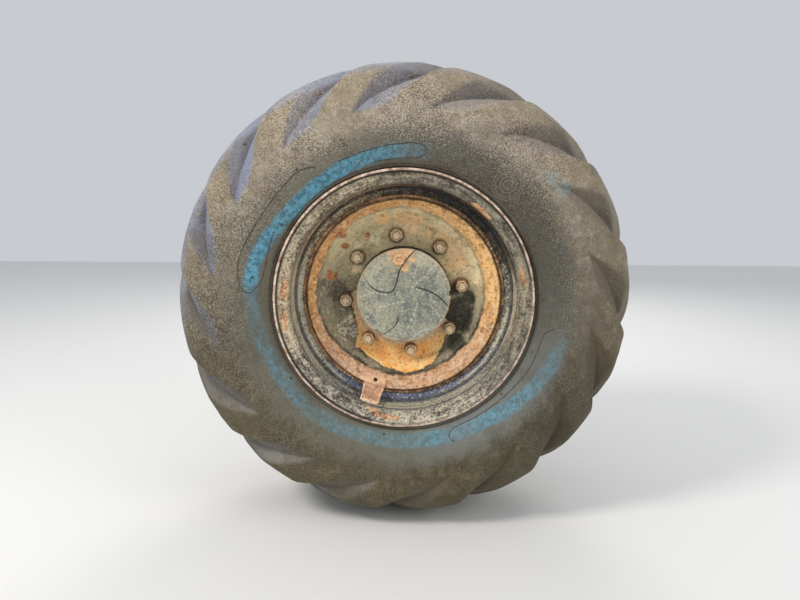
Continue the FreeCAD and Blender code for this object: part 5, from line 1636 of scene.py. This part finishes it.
def ridge(places, width, height, closed=False):
    """Points and faces of one raised line through places on the sidewall."""
    if closed:
        track = np.array(places, float)
    else:
        track = catmull(np.array(places, float), 8)
    spots, normal = sidewall_place(track[:, 0], track[:, 1])
    if closed:
        along = np.roll(spots, -1, axis=0) - np.roll(spots, 1, axis=0)
    else:
        along = np.gradient(spots, axis=0)
    along = along / np.linalg.norm(along, axis=1, keepdims=True)
    across = np.cross(along, normal)
    shape = [(-1.0, -0.9), (-0.75, 0.35), (-0.3, 0.95), (0.3, 0.95), (0.75, 0.35), (1.0, -0.9)]
    rows = [spots + across * s * width / 2 * MM + normal * h * height * MM for s, h in shape]
    points = np.stack(rows, axis=1)
    faces = net(len(spots), len(shape), closed, True)
    if not closed:
        faces.append(tuple(range(len(shape))))
        faces.append(tuple(range((len(spots) - 1) * len(shape), len(spots) * len(shape))))
    return points.reshape(-1, 3), faces


def circle_on_side(radius, angle, size, count=28):
    """Places of a small circle on the sidewall round a place."""
    turn = np.linspace(0, 2 * np.pi, count, endpoint=False)
    x = radius * math.cos(math.radians(angle)) + size * np.cos(turn)
    z = radius * math.sin(math.radians(angle)) + size * np.sin(turn)
    return list(zip(np.hypot(x, z), np.degrees(np.arctan2(z, x))))


TYRE_SKIN = skin_of(tyre)


def make_lines():
    parts = [ridge(PANEL_LEFT, 2.6, 0.8), ridge(PANEL_TOP, 2.6, 0.8), ridge(PANEL_RIGHT, 2.6, 0.8)]
    parts.append(ridge([(291.5, a) for a in np.linspace(0, 360, 260, endpoint=False)], 2.4, 0.7, closed=True))
    for size in (9, 16, 25, 31):
        parts.append(ridge(circle_on_side(327, 49.1, size, 60), 2.0, 0.6, closed=True))
    for radius, angle in PIPS:
        parts.append(ridge(circle_on_side(radius, angle, 1.7, 16), 2.6, 1.1, closed=True))
    points = []
    faces = []
    for spots, own in parts:
        base = sum(len(p) for p in points)
        points.append(spots)
        faces += [tuple(i + base for i in face) for face in own]
    thing = make_object("sidewall_lines", np.concatenate(points), faces)
    print("sidewall_lines faces", len(faces))
    return shade(face_out(thing), 60)


def line_finish():
    """Rubber of the raised lines: darker, with painted shade for the shadow along each ridge as well as dirt."""
    work = Finish("moulded_lines", roughness=0.85)
    aloft = work.band(work.axis("Z"), -0.2, 0.3)
    colour = work.tint(aloft, paint(72, 66, 50), paint(64, 58, 54))
    upper_right = work.math("MULTIPLY", work.band(work.axis("X"), 0.10, 0.14), work.band(work.axis("Z"), 0.12, 0.16))
    colour = work.tint(work.math("MULTIPLY", upper_right, 0.8), colour, paint(132, 126, 108))
    colour = work.spots(colour, work.noise(120, 4.0, 0.7), 0.5, 0.62, 0.6, paint(122, 112, 96))
    work.bump(work.noise(330, 3.0, 0.7), 0.0006, 0.5)
    return work.done(colour)


finish_piece(make_lines(), "wheel", "tyre", line_finish())

# %% [markdown]
# ## Crumbs of mud
# Dry mud breaks into crumbs that stay in the grooves of the tread, on the disc's mud and on the lower part of the
# rim. A seeded tree scatters small rough stones over the faces that would hold them.

# %% Scattered crumbs


def scatter_tree(material):
    tree = Tree("scatter_crumbs", [
        ("Density", "NodeSocketFloat", 1000.0),
        ("Smallest", "NodeSocketFloat", 0.001),
        ("Largest", "NodeSocketFloat", 0.003),
        ("Seed", "NodeSocketInt", 1),
    ])
    start = tree.start.outputs
    spread = tree.node("GeometryNodeDistributePointsOnFaces", Mesh=start["Geometry"], Density=start["Density"],
                       Seed=start["Seed"])
    ball = tree.node("GeometryNodeMeshIcoSphere", Radius=1.0, Subdivisions=2)
    size = tree.node("FunctionNodeRandomValue", {"data_type": "FLOAT"}, Seed=start["Seed"])
    tree.feed(size.inputs[2], start["Smallest"])
    tree.feed(size.inputs[3], start["Largest"])
    squash = tree.node("ShaderNodeCombineXYZ", X=1.0, Y=0.8, Z=0.55)
    scale = tree.node("ShaderNodeVectorMath", {"operation": "SCALE"}, Scale=size.outputs[1])
    tree.feed(scale.inputs[0], squash.outputs[0])
    crumbs = tree.node("GeometryNodeInstanceOnPoints", Points=spread.outputs["Points"], Instance=ball.outputs[0],
                       Rotation=spread.outputs["Rotation"], Scale=scale.outputs[0])
    real = tree.node("GeometryNodeRealizeInstances", Geometry=crumbs.outputs[0])
    place = tree.node("GeometryNodeInputPosition").outputs[0]
    noise = tree.node("ShaderNodeTexNoise", {"noise_dimensions": "3D"}, Vector=place, Scale=260.0)
    centred = tree.node("ShaderNodeVectorMath", {"operation": "SUBTRACT"})
    tree.feed(centred.inputs[0], noise.outputs["Color"])
    centred.inputs[1].default_value = (0.5, 0.5, 0.5)
    shift = tree.node("ShaderNodeVectorMath", {"operation": "SCALE"}, Scale=0.0022)
    tree.feed(shift.inputs[0], centred.outputs[0])
    rough = tree.node("GeometryNodeSetPosition", Geometry=real.outputs[0], Offset=shift.outputs[0])
    return tree.finish(rough.outputs[0], material)


def faces_of(thing, test):
    """Copy of a piece with only the faces whose middles and normals pass a test."""
    mesh = thing.data
    middles = np.array([p.center for p in mesh.polygons]) * 1000
    normals = np.array([p.normal for p in mesh.polygons])
    chosen = np.nonzero(test(middles, normals))[0]
    points = np.array([v.co for v in mesh.vertices])
    faces = [tuple(mesh.polygons[int(i)].vertices) for i in chosen]
    used = sorted({i for face in faces for i in face})
    number = {old: new for new, old in enumerate(used)}
    return make_object("holder", points[used], [tuple(number[i] for i in face) for face in faces])


def crumbs_on(thing, test, name, slot_name, material, density, smallest, largest, seed):
    holder = faces_of(thing, test)
    values = {"Density": density, "Smallest": smallest, "Largest": largest, "Seed": seed}
    crumbs = apply_tree(holder, scatter_tree(material), name, **values)
    shade(face_out(crumbs))
    finish_piece(crumbs, "wheel", slot_name, material)
    print(name, "faces", len(crumbs.data.polygons))
    return crumbs


def on_mud(middles, normals):
    front = (normals[:, 1] < -0.3) & (WHEEL_PLANE * 1000 - middles[:, 1] > 33)
    reach = np.hypot(middles[:, 0], middles[:, 2])
    cake = mud_cover(middles[:, 0], middles[:, 2]) > 0.9
    return front & ((cake & (reach > 112)) | (band_cover(middles[:, 0], middles[:, 2]) > 0.9))


def in_grooves(middles, normals):
    reach = np.hypot(middles[:, 0], middles[:, 2])
    out = np.abs(WHEEL_PLANE * 1000 - middles[:, 1])
    surface = np.interp(out, [0, 70, 125, 167], [521.6, 516.5, 503, 485])
    return (surface - reach > 15) & (out < 165) & (reach > 455)


def low_on_rim(middles, normals):
    reach = np.hypot(middles[:, 0], middles[:, 2])
    out = WHEEL_PLANE * 1000 - middles[:, 1]
    inward = normals[:, 2] > 0.3
    return (out > 84) & (out < 172) & (reach < 262) & (middles[:, 2] < -60) & inward


orange_crumbs = steel_finish("orange_crumbs", paint(226, 158, 92), paint(176, 108, 56), paint(244, 196, 136),
                             paint(190, 116, 60), rusty=0.3, dusty=0.6)
grey_crumbs = steel_finish("grey_crumbs", paint(128, 118, 98), paint(86, 76, 60), paint(164, 150, 126),
                           paint(122, 92, 66), rusty=0.2, dusty=0.5)
crumbs_on(disc, on_mud, "crumbs_on_disc", "wheel_disc", orange_crumbs, 7000.0, 0.0006, 0.0019, 4)
crumbs_on(tyre, in_grooves, "crumbs_in_tread", "tyre", grey_crumbs, 900.0, 0.0015, 0.0055, 8)
crumbs_on(rim, low_on_rim, "crumbs_on_rim", "rim", grey_crumbs, 5000.0, 0.0006, 0.0022, 12)

# %% [markdown]
# ## Finishes for the solids that stay
# The hub, the arm, the spindle, the shaft, the seal and the valve already have their real shapes, so they keep their
# meshes and only get their finishes.

# %% Cast iron, ground steel, rubber seal and brass
cast_finish = steel_finish("cast_paint", paint(74, 74, 70), paint(44, 44, 43), paint(128, 116, 98),
                           paint(104, 70, 48), rusty=0.2, dusty=0.35)
hub_finish = steel_finish("hub_casting", paint(84, 82, 74), paint(48, 48, 46), paint(150, 128, 98), paint(120, 76, 46))


def ground_finish():
    work = Finish("ground_steel", roughness=0.34, metallic=0.9)
    rings = work.noise(60, 3.0, 0.5, stretch=(0.2, 12, 0.2))
    colour = work.tint(rings, paint(126, 126, 124), paint(172, 172, 170))
    oil = work.band(work.noise(14, 4.0), 0.5, 0.66)
    colour = work.tint(work.math("MULTIPLY", oil, 0.5), colour, paint(92, 74, 54))
    work.bump(rings, 0.0002, 0.4)
    return work.done(colour, roughness=work.band(oil, 0, 1, 0.30, 0.5))


def seal_finish():
    work = Finish("oily_rubber", roughness=0.5)
    dust = work.noise(60, 5.0, 0.7)
    return work.done(work.tint(work.band(dust, 0.5, 0.7, 0.0, 0.5), paint(34, 33, 32), paint(104, 92, 76)))


def brass_finish():
    work = Finish("dull_brass", roughness=0.5, metallic=0.7)
    dust = work.noise(90, 5.0, 0.7)
    return work.done(work.tint(work.band(dust, 0.45, 0.65), paint(158, 126, 70), paint(128, 104, 78)))


def coat(name, material):
    solids[name].data.materials.clear()
    solids[name].data.materials.append(material)


steel = ground_finish()
coat("hub", hub_finish)
coat("axle_arm", cast_finish)
coat("spindle", steel)
coat("half_shaft", steel)
coat("seal_ring", seal_finish())
coat("valve", brass_finish())
